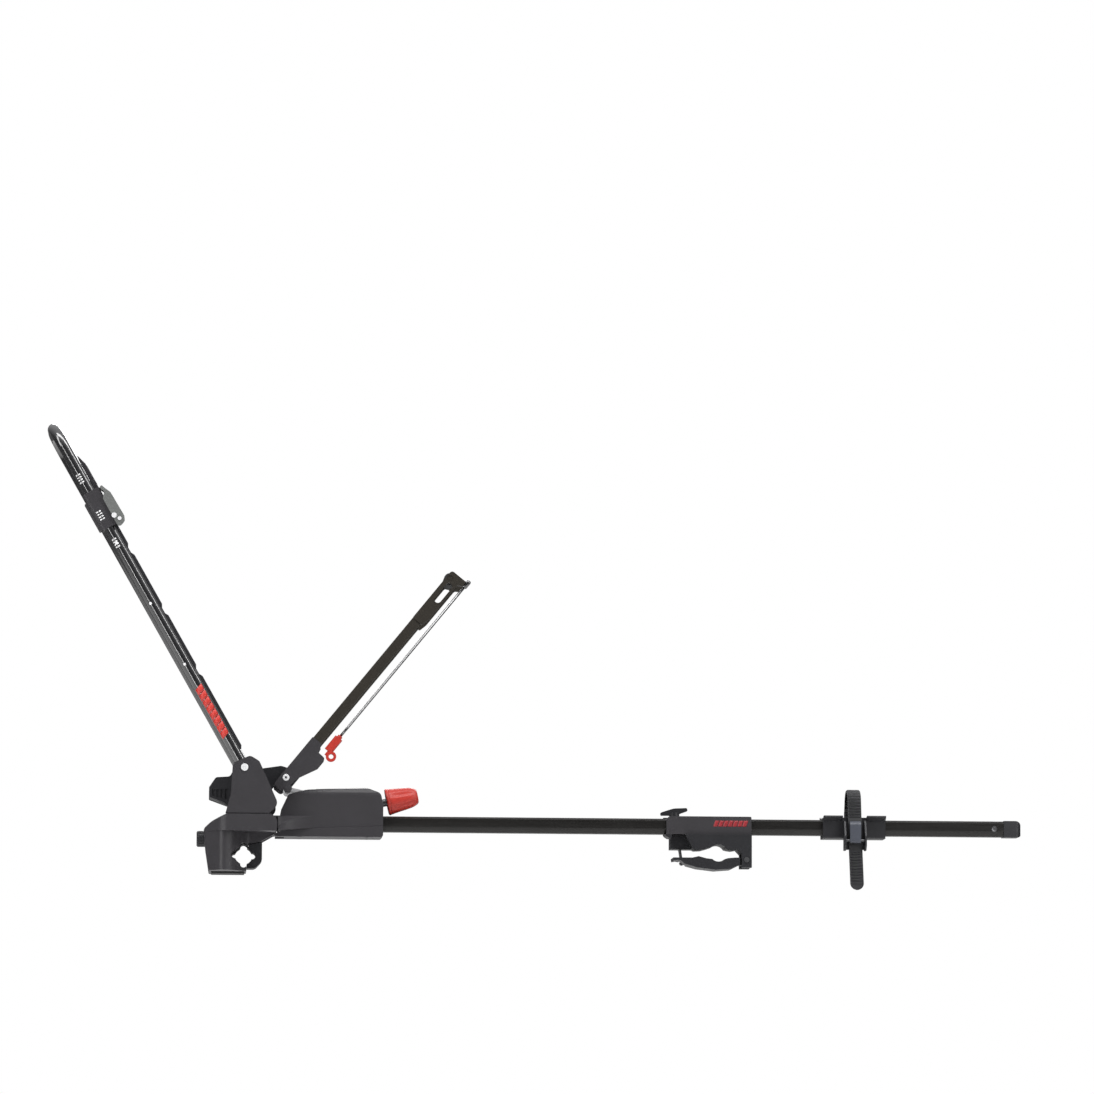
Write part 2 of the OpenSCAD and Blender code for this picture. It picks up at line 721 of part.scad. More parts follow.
module lower_side(i) {
  polygon([[head_rear - 4 + i, lower_z + i], [cowl_end - 3 - i, lower_z + i],
  [cowl_end - i, lower_z + 3 + i],
    [cowl_end - i, seam_z(cowl_end) - seam_gap + 2 * i], [122, seam_z(122) - seam_gap + 2 * i],
    [cowl_front + 8, seam_z(cowl_front + 8) - seam_gap + 2 * i],
    [head_rear - 4 + i, crease_z - 1 + 2 * i]]);
}
module lower_cowl() {
  color(charcoal) difference() {
    union() {
      difference() {
        along_y(-cowl_half, cowl_half) lower_side(0);
        along_y(-cowl_half + cowl_wall, cowl_half - cowl_wall) lower_side(cowl_wall);
      }
      for (x = [cowl_front + 26, cowl_end - 15.5])
        box(x, x + 4, -cowl_half + 1, cowl_half - 1, lower_z + 1, bar_z - seat_fit);
      cowl_screw_places() translate([0, 0, lower_z + 1]) cylinder(d = boss_d, h = 10);
    }
    // The head's lower block and the sliding jaw's lug pass in front
    box(head_rear - 20, head_rear - 4.6, -jaw_half - 1, jaw_half + 1, 0, 60);
    box(head_rear - 20, claw_x + 36, -lug_half - 3, lug_half + 3, 0, lug_top + 3);
    head_clear();
    box(head_rear - 10, cowl_end + 5, -bar_w / 2 - seat_fit, bar_w / 2 + seat_fit,
        bar_z - seat_fit / 2, bar_top);
    cowl_screw_places() {
      translate([0, 0, lower_z - 1]) cylinder(d = screw_d + seat_fit, h = 30);
      translate([0, 0, lower_z - 1]) cylinder(d = 8 + 2 * gap, h = 4);
    }
  }
}
module head_clear() {
  along_y(-head_half - 1, head_half + 1)
    polygon([[head_rear - 20, crease_z - 6], [head_rear - 2 + gap, crease_z - gap],
      [head_rear - 1 + gap, crease_z + 12], [head_rear - 1 + gap, deck_z + gap],
      [head_rear - 20, deck_z + gap]]);
}
module cowl_screws() {
  color(steel) cowl_screw_places() {
    translate([0, 0, lower_z + 3]) cylinder(d = screw_d, h = 28);
    translate([0, 0, lower_z + 0.8]) cylinder(d = 8, h = 2.2);
  }
}
module spindle_bracket() {
  plate_x = 214;
  color(steel) difference() {
    union() {
      box(plate_x, plate_x + 5, -18, 18, bar_top, 102);
      box(plate_x, plate_x + 11, -18, 18, bar_top, bar_top + 4);
    }
    on_spindle() cyl_x(spindle_d + run_fit, -40, 10);
  }
}
module spindle() {
  color(steel) on_spindle() {
    cyl_x(spindle_d, -74, 30);
    cyl_x(spindle_d + 6, -24, -21);
    cyl_x(spindle_d + 3, -2, red_start - seat_fit);
  }
}
module tension_knob() {
  flutes = 6;
  flute_d = 5;
  collar_r = red_big_d / 2;
  shoulder = [collar_r - 4.6, red_len - 12.5];
  slope = atan((collar_r - shoulder[0]) / shoulder[1]);
  color(signal_red) on_spindle() difference() {
    rotate([0, 90, 0]) translate([0, 0, red_start]) rotate_extrude()
      polygon(rounded(
        [[0, 0], [collar_r, 0], [collar_r, 4], shoulder, [red_small_d / 2, red_len], [0, red_len]],
        [0, 2, 3, 9, 3, 0]));
    cyl_x(spindle_d + seat_fit, 0, 31);
    for (i = [0:flutes - 1])
      rotate([360 / flutes * i + 12, 0, 0]) translate([red_start + 5, 0, collar_r + flute_d / 2 - 1.4])
        rotate([0, slope, 0]) cyl_x(flute_d, 0, red_len + 8);
  }
}
module carriage() {
  color(soft_black) on_spindle() translate([carriage_t, 0, 0]) difference() {
    union() {
      box(-10, 10, -carriage_half, carriage_half, -7.5, 7.5);
      cyl_y(trunnion_d, -link_in - link_t - 0.8, link_in + link_t + 0.8);
    }
    cyl_x(spindle_d + run_fit, -20, 20);
  }
}

// Front arm
module hoop(d) {
  straight = hoop_u - hoop_bend;
  both_sides() {
    translate([0, -leg_y, 0]) cyl_x(d, leg_end, straight);
    translate([straight, -leg_y + hoop_bend, 0]) rotate([0, 0, -90]) rotate_extrude(angle = 90)
      translate([hoop_bend, 0]) circle(d = d);
  }
  translate([hoop_u, 0, 0]) cyl_y(d, -leg_y + hoop_bend, leg_y - hoop_bend);
}
module hoop_tube() {
  color(gloss_black) on_front_arm() difference() {
    hoop(tube_d);
    hoop(tube_d - 2 * tube_wall);
    both_sides() {
      translate([leg_end - 5, -leg_y, 0]) cyl_x(tube_d - 2 * tube_wall, 0, 10);
      cyl_y(bush_d + seat_fit, -leg_y - tube_d, -leg_y + tube_d);
    }
    rivet_places() cyl_y(rivet_d + seat_fit, -leg_y - tube_d, -leg_y);
  }
}
module arm_bushes() {
  color(steel) on_front_arm() both_sides() difference() {
    cyl_y(bush_d, -leg_y - tube_d / 2, -leg_y + tube_d / 2);
    cyl_y(pivot_d + run_fit, -leg_y - tube_d, -leg_y + tube_d);
  }
}
function notch(u) = [[u - notch_flat - notch_slope, -rail_face], [u - notch_flat, -tube_d / 2 - 0.4],
  [u + notch_flat, -tube_d / 2 - 0.4], [u + notch_flat + notch_slope, -rail_face]];
function rail_side() = concat(
  [[rail_u0, -tube_d / 2 + 3], [rail_u0, -tube_d / 2 - 0.5], [rail_u0 + 5, -rail_face]],
  [for (k = [0:notch_count - 1]) each notch(notch_start + k * notch_pitch)],
  [[rail_u1 - 4, -rail_face], [rail_u1, -tube_d / 2 - 0.5], [rail_u1, -tube_d / 2 + 3]]);
module index_rail() {
  color(soft_black) on_front_arm() difference() {
    along_y(-leg_y - rail_w / 2, -leg_y + rail_w / 2) polygon(rail_side());
    translate([0, -leg_y, 0]) cyl_x(tube_d + seat_fit, rail_u0 - 1, rail_u1 + 1);
  }
}
module left_index_rail() {
  index_rail();
}
module right_index_rail() {
  mirror([0, 1, 0]) index_rail();
}
// Flush rivets on the outer side of each leg hold the rail's strip inside the tube
module rivet_places() {
  both_sides() for (k = [0:2])
    translate([notch_start + rivet_lead + k * notch_pitch, 0, rivet_v]) children();
}
module rail_rivets() {
  color(steel) on_front_arm() intersection() {
    rivet_places() cyl_y(rivet_d, -leg_y - tube_d, -leg_y - tube_d / 2 + tube_wall + 1);
    both_sides() translate([0, -leg_y, 0]) cyl_x(tube_d + 2 * rivet_proud, 0, hoop_u);
  }
}

// Wheel stop and its latch
module stop_sleeve(start) {
  color(charcoal) on_front_arm() difference() {
    union() {
      along_x(start, stop_end) polygon(rounded(
        [[-sleeve_out, -stop_inner], [-sleeve_in, -stop_inner], [-sleeve_in, stop_outer],
         [-sleeve_out, stop_outer]],
        [2, 2, 2, 4]));
      children();
    }
    translate([0, -leg_y, 0]) cyl_x(tube_d + 2 * slide_gap, stop_start - 1, stop_end + 1);
    box(stop_start - 1, stop_end + 1, -leg_y - rail_w / 2 - slide_gap, -leg_y + rail_w / 2 + slide_gap,
        -rail_face - slide_gap, 0);
    // Window for the lever's tooth
    box(lever_end - 13, stop_end + 1, -leg_y - rail_w / 2 - slide_gap, -leg_y + rail_w / 2 + slide_gap,
        -stop_inner - 1, 0);
    translate([pin_u, 0, -pin_v]) cyl_y(lever_pin_d + seat_fit, -sleeve_out, -sleeve_in);
  }
}
module left_stop_sleeve() {
  stop_sleeve(stop_start) translate([pin_u, 0, -pin_v]) {
    cyl_y(lever_pin_d + 4, -leg_y - lug_t / 2, -leg_y + lug_t / 2);
    box(-(lever_pin_d + 4) / 2, (lever_pin_d + 4) / 2, -leg_y - lug_t / 2, -leg_y + lug_t / 2, 0,
        pin_v - stop_inner + 0.5);
  }
}
module right_stop_sleeve() {
  mirror([0, 1, 0]) stop_sleeve(right_start);
}
module stop_pad() {
  strip_out = leg_y - rail_w / 2 - slide_gap;
  strip_in = sleeve_in;
  strip_v = sqrt(pow(tube_d / 2 + slide_gap, 2) - pow(leg_y - strip_out, 2)) + 0.3;
  web0 = stop_end + 8;
  web1 = stop_end + 42;
  valley = 10;
  color(charcoal) on_front_arm() {
    both_sides() along_y(-strip_out, -strip_in) polygon(rounded(
      [[stop_end, -stop_inner - 0.5], [web1 + 4, -stop_inner - 0.5], [pad_end, -strip_v - 2.5],
          [pad_end, -strip_v],
       [stop_end, -strip_v]],
      [0, 10, 2, 0, 0]));
    along_x(web0, web1) polygon(rounded(
      [[-strip_in - eps, -stop_inner - 0.5], [-strip_in / 2, -stop_inner], [0, -stop_inner + valley],
       [strip_in / 2, -stop_inner], [strip_in + eps, -stop_inner - 0.5], [strip_in + eps, -strip_v],
       [strip_in - 6, -strip_v], [strip_in / 2, -strip_v + 3], [0, -stop_inner + valley + 5],
       [-strip_in / 2, -strip_v + 3], [-strip_in + 6, -strip_v], [-strip_in - eps, -strip_v]],
      [0, 8, 20, 8, 0, 0, 0, 8, 16, 8, 0, 0]));
  }
}
module lever_pin() {
  color(steel) on_front_arm() translate([pin_u, 0, -pin_v]) {
    cyl_y(lever_pin_d, -lever_out - gap, -leg_y + lug_t / 2 + lever_t + gap);
    cyl_y(lever_pin_d + 1.5, -lever_out - gap - 1.2, -lever_out - gap);
  }
}
module latch_lever() {
  base = stop_inner + gap;
  back = pin_v + lever_pin_d / 2 + 6.5;
  half = lug_t / 2 + gap + lever_t;
  side = rounded(
    [[pin_u - 6, -base - 4], [pin_u - 6, -back + 3], [pin_u, -back], [lever_end - 17, -back + 1],
     [lever_end - 5, -back + 6.5], [lever_end, -back + 8], [lever_end, -base - 1.5],
     [lever_end - 6, -base - 1], [lever_end - 9, -base - 3], [lever_end - 20, -base - 3],
     [lever_end - 23, -base], [pin_u, -base]],
    [2, 3, 6, 6, 4, 1, 1, 1, 2, 2, 1, 3]);
  plate = rounded(
    [[pin_u - 8, -stop_outer + 0.5], [pin_u - 11.6, -stop_outer - 3], [pin_u - 9, -back + 6], [pin_u, -back],
     [lever_end - 17, -back + 1], [lever_end - 8, -back + 5], [lever_end - 12, -base - 3],
     [lever_end - 20, -stop_outer]],
    [3, 4, 5, 5, 6, 2, 2, 3]);
  color(lever_grey) on_front_arm() difference() {
    union() {
      along_y(-lever_out, -leg_y + half) polygon(side);
      along_y(-lever_out, -lever_out + lever_t) polygon(plate);
      // Tooth that drops into the notch
      along_y(-leg_y - rail_w / 2 + 0.5, -leg_y + rail_w / 2 - 0.5)
        polygon([[lever_end - 6, -base - 2], [lever_end - 4.5, -tooth_v], [lever_end - 0.5, -tooth_v],
          [lever_end, -base - 2]]);
    }
    // Channel that straddles the sleeve's lug, open at the lower end
    box(pin_u - 20, pin_u + 20, -leg_y - lug_t / 2 - gap, -leg_y + lug_t / 2 + gap, -back + 1.5, 0);
    translate([pin_u, 0, -pin_v]) cyl_y(lever_pin_d + run_fit, -leg_y - 20, -leg_y + 20);
    lever_rivet_place() cyl_y(lever_rivet_d / 2 + seat_fit, -lever_out - 1, -lever_out + lever_t + 1);
  }
}
module lever_rivet_place() {
  translate([pin_u + 9, 0, -stop_outer - 2.8]) children();
}
module latch_rivet() {
  color(steel) on_front_arm() lever_rivet_place() {
    cyl_y(lever_rivet_d / 2, -lever_out, -lever_out + lever_t);
    cyl_y(lever_rivet_d, -lever_out - 1.2, -lever_out);
  }
}

// Rear arm
module rear_sleeve() {
  side = rounded(
    [[sleeve_u0, -rear_down + 6], [sleeve_u0, rear_up - 2], [sleeve_u0 + 4, rear_up],
     [sleeve_u1, rear_up],
     [sleeve_u1, -rear_down + 3], [sleeve_u1 - 16, -rear_down], [0, -rear_down]],
    [5, 3, 4, 2, 2, 6, 4]);
  difference() {
    union() {
      along_y(-rear_out, -rear_in) polygon(side);
      translate([link_u, 0, -link_v]) cyl_y(link_pin_d + 7, -rear_out, -rear_in);
      children();
    }
    cyl_y(rear_pin_d + run_fit, -rear_out - 1, -rear_in + 1);
    translate([link_u, 0, -link_v]) cyl_y(link_pin_d + seat_fit, -rear_out + 1, -rear_in + 1);
    box(tube_seat, sleeve_u1 + 1, -rear_y - rear_tube_t / 2 - seat_fit / 2,
        -rear_y + rear_tube_t / 2 + seat_fit / 2,
        -rear_tube_w / 2 - seat_fit / 2, rear_tube_w / 2 - 1 + seat_fit / 2);
  }
}
module left_rear_sleeve() {
  // The left casting also carries the socket of the lock cable
  socket = [[6, -rear_down + 1], [66, -rear_down + 1], [65, -rear_down - 14], [60, -plug_v + 4],
  [44, -plug_v + 4]];
  color(charcoal) on_rear_arm() rear_sleeve() along_y(-rear_out, -rear_in) polygon(rounded(socket,
  [0, 0, 2, 3, 6]));
}
module right_rear_sleeve() {
  color(charcoal) mirror([0, 1, 0]) on_rear_arm() rear_sleeve();
}
module rear_tube() {
  wall = 1.6;
  color(satin_brown) on_rear_arm() difference() {
    box(tube_seat, tip_start + tip_seat, -rear_y - rear_tube_t / 2, -rear_y + rear_tube_t / 2,
        -rear_tube_w / 2, rear_tube_w / 2 - 1);
    box(tube_seat - 1, tip_start + tip_seat + 1, -rear_y - rear_tube_t / 2 + wall,
        -rear_y + rear_tube_t / 2 - wall,
        -rear_tube_w / 2 + wall, rear_tube_w / 2 - 1 - wall);
  }
}
module left_rear_tube() {
  rear_tube();
}
module right_rear_tube() {
  mirror([0, 1, 0]) rear_tube();
}
module rear_tip(cable) {
  side = rounded(
    [[tip_start, -tip_down + 3], [tip_start, tip_up], [tip_end, tip_up], [tip_end, -cable_v + 3],
     [tip_end - 9, -cable_v + 3], [tip_end - 14, -tip_down], [tip_start + 14, -tip_down]],
    [2, 2, 5, 1, 3, 5, 10]);
  color(satin_brown) on_rear_arm() difference() {
    along_y(-rear_out, -rear_in) polygon(side);
    box(tip_start - 1, tip_start + tip_seat, -rear_y - rear_tube_t / 2 - seat_fit / 2,
        -rear_y + rear_tube_t / 2 + seat_fit / 2, -rear_tube_w / 2 - seat_fit / 2,
            rear_tube_w / 2 - 1 + seat_fit / 2);
    // Oblong opening through the casting
    for (e = [-1, 1])
      translate([slot_u + e * (slot_len - slot_w) / 2, 0, -slot_v]) cyl_y(slot_w, -rear_out - 1,
          -rear_in + 1);
    box(slot_u - (slot_len - slot_w) / 2, slot_u + (slot_len - slot_w) / 2, -rear_out - 1, -rear_in + 1,
        -slot_v - slot_w / 2, -slot_v + slot_w / 2);
    translate([cross_u, 0, -cross_v]) cyl_y(cross_d + seat_fit, -rear_out - 1, -rear_in + 1);
    if (cable)
      translate([0, -rear_y, -cable_v]) cyl_x(cable_head_d + seat_fit, tip_end - 30, tip_end + 1);
  }
}
module left_rear_tip() {
  rear_tip(true);
}
module right_rear_tip() {
  mirror([0, 1, 0]) rear_tip(false);
}
module rear_cross_rod() {
  color(steel) on_rear_arm() translate([cross_u, 0, -cross_v]) cyl_y(cross_d, -rear_out + 1,
      rear_out - 1);
}
module rear_tyre_pad() {
  color(rubber_black) on_rear_arm() translate([cross_u, 0, -cross_v]) difference() {
    cyl_y(cross_d * 2, -rear_in + 0.2, rear_in - 0.2);
    cyl_y(cross_d + seat_fit, -rear_in - 1, rear_in + 1);
  }
}
module lock_cable() {
  color(gloss_black) on_rear_arm() translate([0, -rear_y, -cable_v]) {
    cyl_x(cable_d, plug_u + 20, tip_end);
    // Rounded head that sits in the tip casting's lug
    cyl_x(cable_head_d, tip_end - 9, tip_end + 2);
    translate([tip_end + 2, 0, 0]) sphere(d = cable_head_d);
  }
}
module cable_plug() {
  color(signal_red) on_rear_arm() difference() {
    union() {
      translate([plug_u, 0, -plug_v]) cyl_y(plug_d, -rear_out + 0.5, -rear_in - 0.5);
      intersection() {
        translate([0, -rear_y, -cable_v]) cyl_x(plug_grip_d, plug_u + 4, plug_u + 32);
        box(plug_u, plug_u + 40, -rear_out + 0.5, -rear_in - 0.5, -cable_v - plug_d, -cable_v + plug_d);
      }
      translate([0, -rear_y, -cable_v]) cyl_x(cable_d + 4, plug_u + 30, plug_u + 36);
      box(plug_u - 4, plug_u + 12, -rear_y - 4, -rear_y + 4, -plug_v + 3, -cable_v + 1);
    }
    translate([plug_u, 0, -plug_v]) cyl_y(plug_hole, -rear_out - 1, -rear_in + 1);
    translate([0, -rear_y, -cable_v]) cyl_x(cable_d + seat_fit, plug_u + 20, plug_u + 50);
    // Flat end that meets the socket
    box(plug_u - 30, 66.2, -rear_out - 1, -rear_in + 1, -plug_v + 3.8, 0);
    box(plug_u - 30, 60, -rear_out - 1, -rear_in + 1, -plug_v - 20, 0);
  }
}
module link_pins() {
  color(steel) both_sides() on_rear_arm() translate([link_u, 0, -link_v])
    cyl_y(link_pin_d, -rear_out + 1, -link_in + 0.6);
}
module pull_link() {
  // The link runs from the arm's lug to the carriage's trunnion
  d0 = [cos(rear_angle), sin(rear_angle)];
  lug = [rear_pivot_x, rear_pivot_z] + link_u * d0 + link_v * [d0[1], -d0[0]];
  seat = [neck_x, neck_z] + carriage_t * [cos(knob_tilt), sin(knob_tilt)];
  run = norm(seat - lug);
  turn = atan2(seat[1] - lug[1], seat[0] - lug[0]);
  translate([lug[0], 0, lug[1]]) rotate([0, -turn, 0]) difference() {
    union() {
      cyl_y(link_pin_d + 8, -link_in - link_t, -link_in);
      box(0, run, -link_in - link_t, -link_in, -4, 4);
      translate([run, 0, 0]) cyl_y(trunnion_d + 2 * eye_play + 6, -link_in - link_t, -link_in);
    }
    cyl_y(link_pin_d + run_fit, -link_in - link_t - 1, -link_in + 1);
    translate([run, 0, 0]) cyl_y(trunnion_d + 2 * eye_play, -link_in - link_t - 1, -link_in + 1);
  }
}
module pull_links() {
  color(steel) both_sides() pull_link();
}

// Middle clamp
module mid_housing() {
  side = rounded(
    [[mid_x0, mid_low], [mid_x1, mid_low], [mid_x1, mid_top], [mid_x0 + 5, mid_top],
     [mid_x0, mid_top - 5]],
    [0, 0, 2, 2, 2]);
  ear = rounded(
    [[mid_x0 - 2, mid_side - 1], [mid_x0 + 48, mid_side - 1], [mid_x0 + 34, mid_half + 6],
     [mid_x0 - 2, mid_half + 6]],
    [0, 0, 8, 6]);
  color(charcoal) difference() {
    union() {
      along_y(-mid_side, mid_side) polygon(side);
      translate([0, 0, mid_low]) linear_extrude(mid_top - mid_low) polygon(ear);
    }
    box(mid_x0 - 10, mid_x1 + 10, -bar_w / 2 - gap, bar_w / 2 + gap, mid_low - 1, bar_top + gap);
    on_mid_bolt() rotate([0, -90, 0]) cyl_x(mid_nut_d() + run_fit, 30, 90);
    mid_screw_places() translate([0, 0, mid_low - 1]) cylinder(d = 4 + seat_fit, h = 20);
  }
}
function mid_nut_d() = mid_bolt_d + 4;
module mid_screw_places() {
  for (x = [mid_x0 + 62, mid_x1 - 10]) for (s = [-1, 1])
    translate([x, s * (mid_side - 2.4), 0]) children();
}
module mid_screws() {
  color(steel) mid_screw_places() {
    translate([0, 0, mid_low - 9]) cylinder(d = 4, h = 25);
  }
}
module mid_upper_jaw() {
  c = [mid_x, mid_rise];
  under = concat(
    [[mid_x - 54, mid_low], [mid_x - 52, mid_rise + 25], [mid_x - 42, mid_rise + 7],
     [mid_x - 38, mid_rise + 5], [mid_x - 27, mid_rise + 5.5], [mid_x - 18, mid_rise + 8]],
    arc(c, crossbar_r, 130, 30, 14),
    [[mid_x + 17, mid_rise + 6], [mid_x + 24, mid_rise + 5], [mid_x + 32, mid_rise + 6.5],
     [mid_x + 39, mid_rise - 1], [mid_x + 39, mid_rise - 24], [mid_x1, mid_rise - 24], [mid_x1, mid_low]]);
  // Lip under the housing's front end
  lip = rounded(
    [[mid_x0 - 3, mid_low], [mid_x0 - 1, mid_low - 3], [mid_x0 + 4, mid_rise + 25],
     [mid_x0 + 9, mid_rise + 25], [mid_x0 + 9, mid_low]],
    [0, 2, 2, 0, 0]);
  color(soft_black) difference() {
    union() {
      along_y(-mid_half, mid_half) polygon(under);
      along_y(-mid_side, mid_side) polygon(lip);
      // Block that guides the bolt, set back from the near side
      box(mid_x0 + 8, mid_x - 38, block_near, block_far, mid_rise + 7, mid_low);
    }
    along_y(-mid_half - 1, mid_half + 1) circle_at(c, crossbar_r);
    // Room for the lower jaw's knuckle between the ears, and the hinge pin's bores
    box(mid_x + 37, mid_x1 + 1, -knuckle_half - gap, knuckle_half + gap, mid_rise - 40,
        hinge_z + knuckle_r + 2);
    translate([hinge_x, 0, hinge_z]) cyl_y(mid_pin_d + seat_fit, -mid_half - 1, mid_half + 1);
    on_mid_bolt() rotate([0, -90, 0]) cyl_x(mid_nut_d() + 2 * gap, 0, 60);
    mid_screw_places() translate([0, 0, mid_low - 10]) cylinder(d = 4 + seat_fit, h = 20);
  }
}
module circle_at(c, r) {
  translate(c) circle(r = r);
}
module mid_hinge_pin() {
  color(steel) translate([hinge_x, 0, hinge_z]) {
    cyl_y(mid_pin_d, -mid_half, mid_half);
    cyl_y(mid_pin_d + 3, -mid_half - 1.5, -mid_half);
  }
}
module mid_lower_jaw() {
  c = [mid_x, mid_rise];
  top = concat(
    [[mid_x - 75, mid_rise - 8], [mid_x - 43, mid_rise - 8], [mid_x - 33, mid_rise - 5.6],
     [mid_x - 20, mid_rise - 9]],
    arc(c, crossbar_r, 225, 312, 12),
    [[mid_x + 16, mid_rise - 8.5], [mid_x + 28, mid_rise - 7.5], [mid_x + 36, mid_rise - 7.5],
     [mid_x + 36, mid_rise - 19], [mid_x + 22, mid_rise - 26], [mid_x - 4, mid_rise - 28],
     [mid_x - 34, mid_rise - 24.5],
     [mid_x - 56, mid_rise - 18.5], [mid_x - 62, mid_rise - 13], [mid_x - 68, mid_rise - 12],
         [mid_x - 74, mid_rise - 13]]);
  color(soft_black) difference() {
    union() {
      along_y(-mid_half, mid_half) polygon(top);
      translate([hinge_x, 0, hinge_z]) cyl_y(2 * knuckle_r, -knuckle_half, knuckle_half);
      box(mid_x + 30, hinge_x, -knuckle_half, knuckle_half, hinge_z - knuckle_r, hinge_z + 3);
    }
    along_y(-mid_half - 1, mid_half + 1) circle_at(c, crossbar_r);
    translate([hinge_x, 0, hinge_z]) cyl_y(mid_pin_d + run_fit, -mid_half, mid_half);
    // Fork slot for the bolt and the seat of its cross head
    box(mid_x - 80, bolt_foot_x + mid_bolt_d + 1.5, bolt_y - mid_bolt_d / 2 - 0.6,
        bolt_y + mid_bolt_d / 2 + 0.6,
        mid_rise - 60, mid_rise + 5);
    translate([bolt_foot_x, 0, bolt_foot_z - cross_head_z - 1.2])
      cyl_y(cross_head_d + 4.4, bolt_y - 12, bolt_y + 10);
    box(bolt_foot_x - 12, bolt_foot_x + cross_head_d / 2 + 2.2, bolt_y - 12, bolt_y + 10,
        mid_rise - 60, bolt_foot_z - cross_head_z - 1.2);
  }
}
module mid_bolt() {
  color(steel) on_mid_bolt() {
    rotate([0, -90, 0]) cyl_x(mid_bolt_d, 0, bolt_len - 2);
    translate([0, 0, -cross_head_z]) cyl_y(cross_head_d, -mid_bolt_d / 2 - 4, mid_bolt_d / 2 + 4);
  }
}
module mid_knob() {
  crown = rounded(
    [[-wing_len / 2, 1], [-8, -1], [-7, -4], [7, -4], [8, -1], [wing_len / 2, 2],
     [wing_len / 2 - 1, 7], [0, 9.5],
     [-wing_len / 2 + 1, 6]],
    [2, 3, 0, 0, 3, 2, 2, 30, 2]);
  color(soft_black) on_mid_bolt() difference() {
    union() {
      translate([0, 0, knob_base]) along_y(-wing_t / 2, wing_t / 2) polygon(crown);
      translate([0, 0, 34]) cylinder(d = mid_nut_d(), h = knob_base - 32);
      translate([0, 0, knob_base - 4]) cylinder(d = mid_nut_d() + 8, h = 6);
    }
    cylinder(d = mid_bolt_d + run_fit, h = bolt_len + 1);
  }
}

// Wheel tray, strap and buckle
module saddle() {
  rim = 12;
  half = [[0, saddle_low], [saddle_half - 2, saddle_low], [saddle_half, saddle_low + 2],
  [saddle_half, saddle_rim - 6],
    [saddle_half + rim, saddle_rim + 1], [saddle_half + rim - 2, saddle_rim + 3],
    [saddle_half - 3, bar_top + 3],
    [0, bar_top + 2.4]];
  color(soft_black) difference() {
    union() {
      along_x(saddle_x0, saddle_x1) {
        polygon(half);
        polygon(flipped(half));
      }
      // Lugs that hold the strap's anchor pin on the right
      for (s = [-1, 1])
        box(strap_x + s * (strap_w / 2 + 4) - 3, strap_x + s * (strap_w / 2 + 4) + 3, saddle_half - 1,
            anchor_y + anchor_d,
            anchor_z - 7, anchor_z + 7);
    }
    box(saddle_x0 - 1, saddle_x1 + 1, -bar_w / 2 - gap, bar_w / 2 + gap, bar_z - gap, bar_top + gap);
    // Notches in the rims for the strap and the buckle
    for (s = [-1, 1])
      box(strap_x - frame_w / 2 - 1.5, strap_x + frame_w / 2 + 1.5, s * (saddle_half + 20) - 20,
          s * (saddle_half + 20) + 20,
          saddle_rim - 12, saddle_rim + 20);
    translate([0, anchor_y, anchor_z]) cyl_x(anchor_d + seat_fit, strap_x - 30, strap_x + 30);
    buckle_rivet_places() rotate([90, 0, 0]) translate(
    [0, 0, saddle_half - 6]) cylinder(d = 5 + seat_fit, h = 20);
  }
}
module buckle_rivet_places() {
  for (z = [42, 56]) translate([strap_x, 0, z]) children();
}
module buckle_frame() {
  side = rounded(
    [[-saddle_half, 18], [-saddle_half, 66], [-frame_y - 8, 66], [-frame_y - frame_depth, 40],
     [-frame_y - frame_depth, 24], [-frame_y - 12, 16], [-frame_y, 16]],
    [0, 1, 5, 8, 6, 4, 1]);
  color(soft_black) difference() {
    union() {
      for (s = [-1, 1])
        along_x(strap_x + s * (frame_w - frame_t) / 2 - frame_t / 2,
            strap_x + s * (frame_w - frame_t) / 2 + frame_t / 2)
          polygon(side);
      box(strap_x - frame_w / 2, strap_x + frame_w / 2, -frame_y - frame_t, -saddle_half, 18, 64);
      // Studs that hold the frame in the saddle
      buckle_rivet_places() rotate([90, 0, 0]) translate([0, 0, saddle_half - 5]) cylinder(d = 5, h = 6);
    }
    translate([0, buckle_pin_y, buckle_pin_z]) cyl_x(buckle_pin_d + seat_fit, strap_x - 30, strap_x + 30);
  }
}
module buckle_lever() {
  y0 = buckle_pin_y + 4;
  y1 = buckle_pin_y - 5;
  side = rounded(
    [[y0 - 1, buckle_pin_z - 4], [y0, buckle_pin_z + 4], [y0 - 1, 63], [y0 - 5, 65], [y1 - 1, 60],
     [y1, buckle_pin_z - 4],
     [y0 - 4, buckle_pin_z - 4.5]],
    [2, 3, 1, 2, 5, 3, 1]);
  color(slate) difference() {
    along_x(strap_x - lever_w / 2, strap_x + lever_w / 2) polygon(side);
    translate([0, buckle_pin_y, buckle_pin_z]) cyl_x(buckle_pin_d + run_fit, strap_x - 30, strap_x + 30);
  }
}
function strap_path() = concat(
  [[anchor_y, anchor_z + anchor_d / 2 + 1], [anchor_y - 1, 80]],
  arc([0, loop_z - 24], 24 - strap_t / 2, 8, 172, 14),
  [[strap_run + 1, 74], [strap_run - strap_t / 2, 64], [strap_run - strap_t / 2, 12],
   [strap_run - 6, -tail_z + strap_w / 2]]);
function path_side(p, w) = [for (i = [0:len(p) - 1])
  let (a = p[max(i - 1, 0)], b = p[min(i + 1, len(p) - 1)], d = unit(b - a)) p[i] + w * [-d[1], d[0]]];
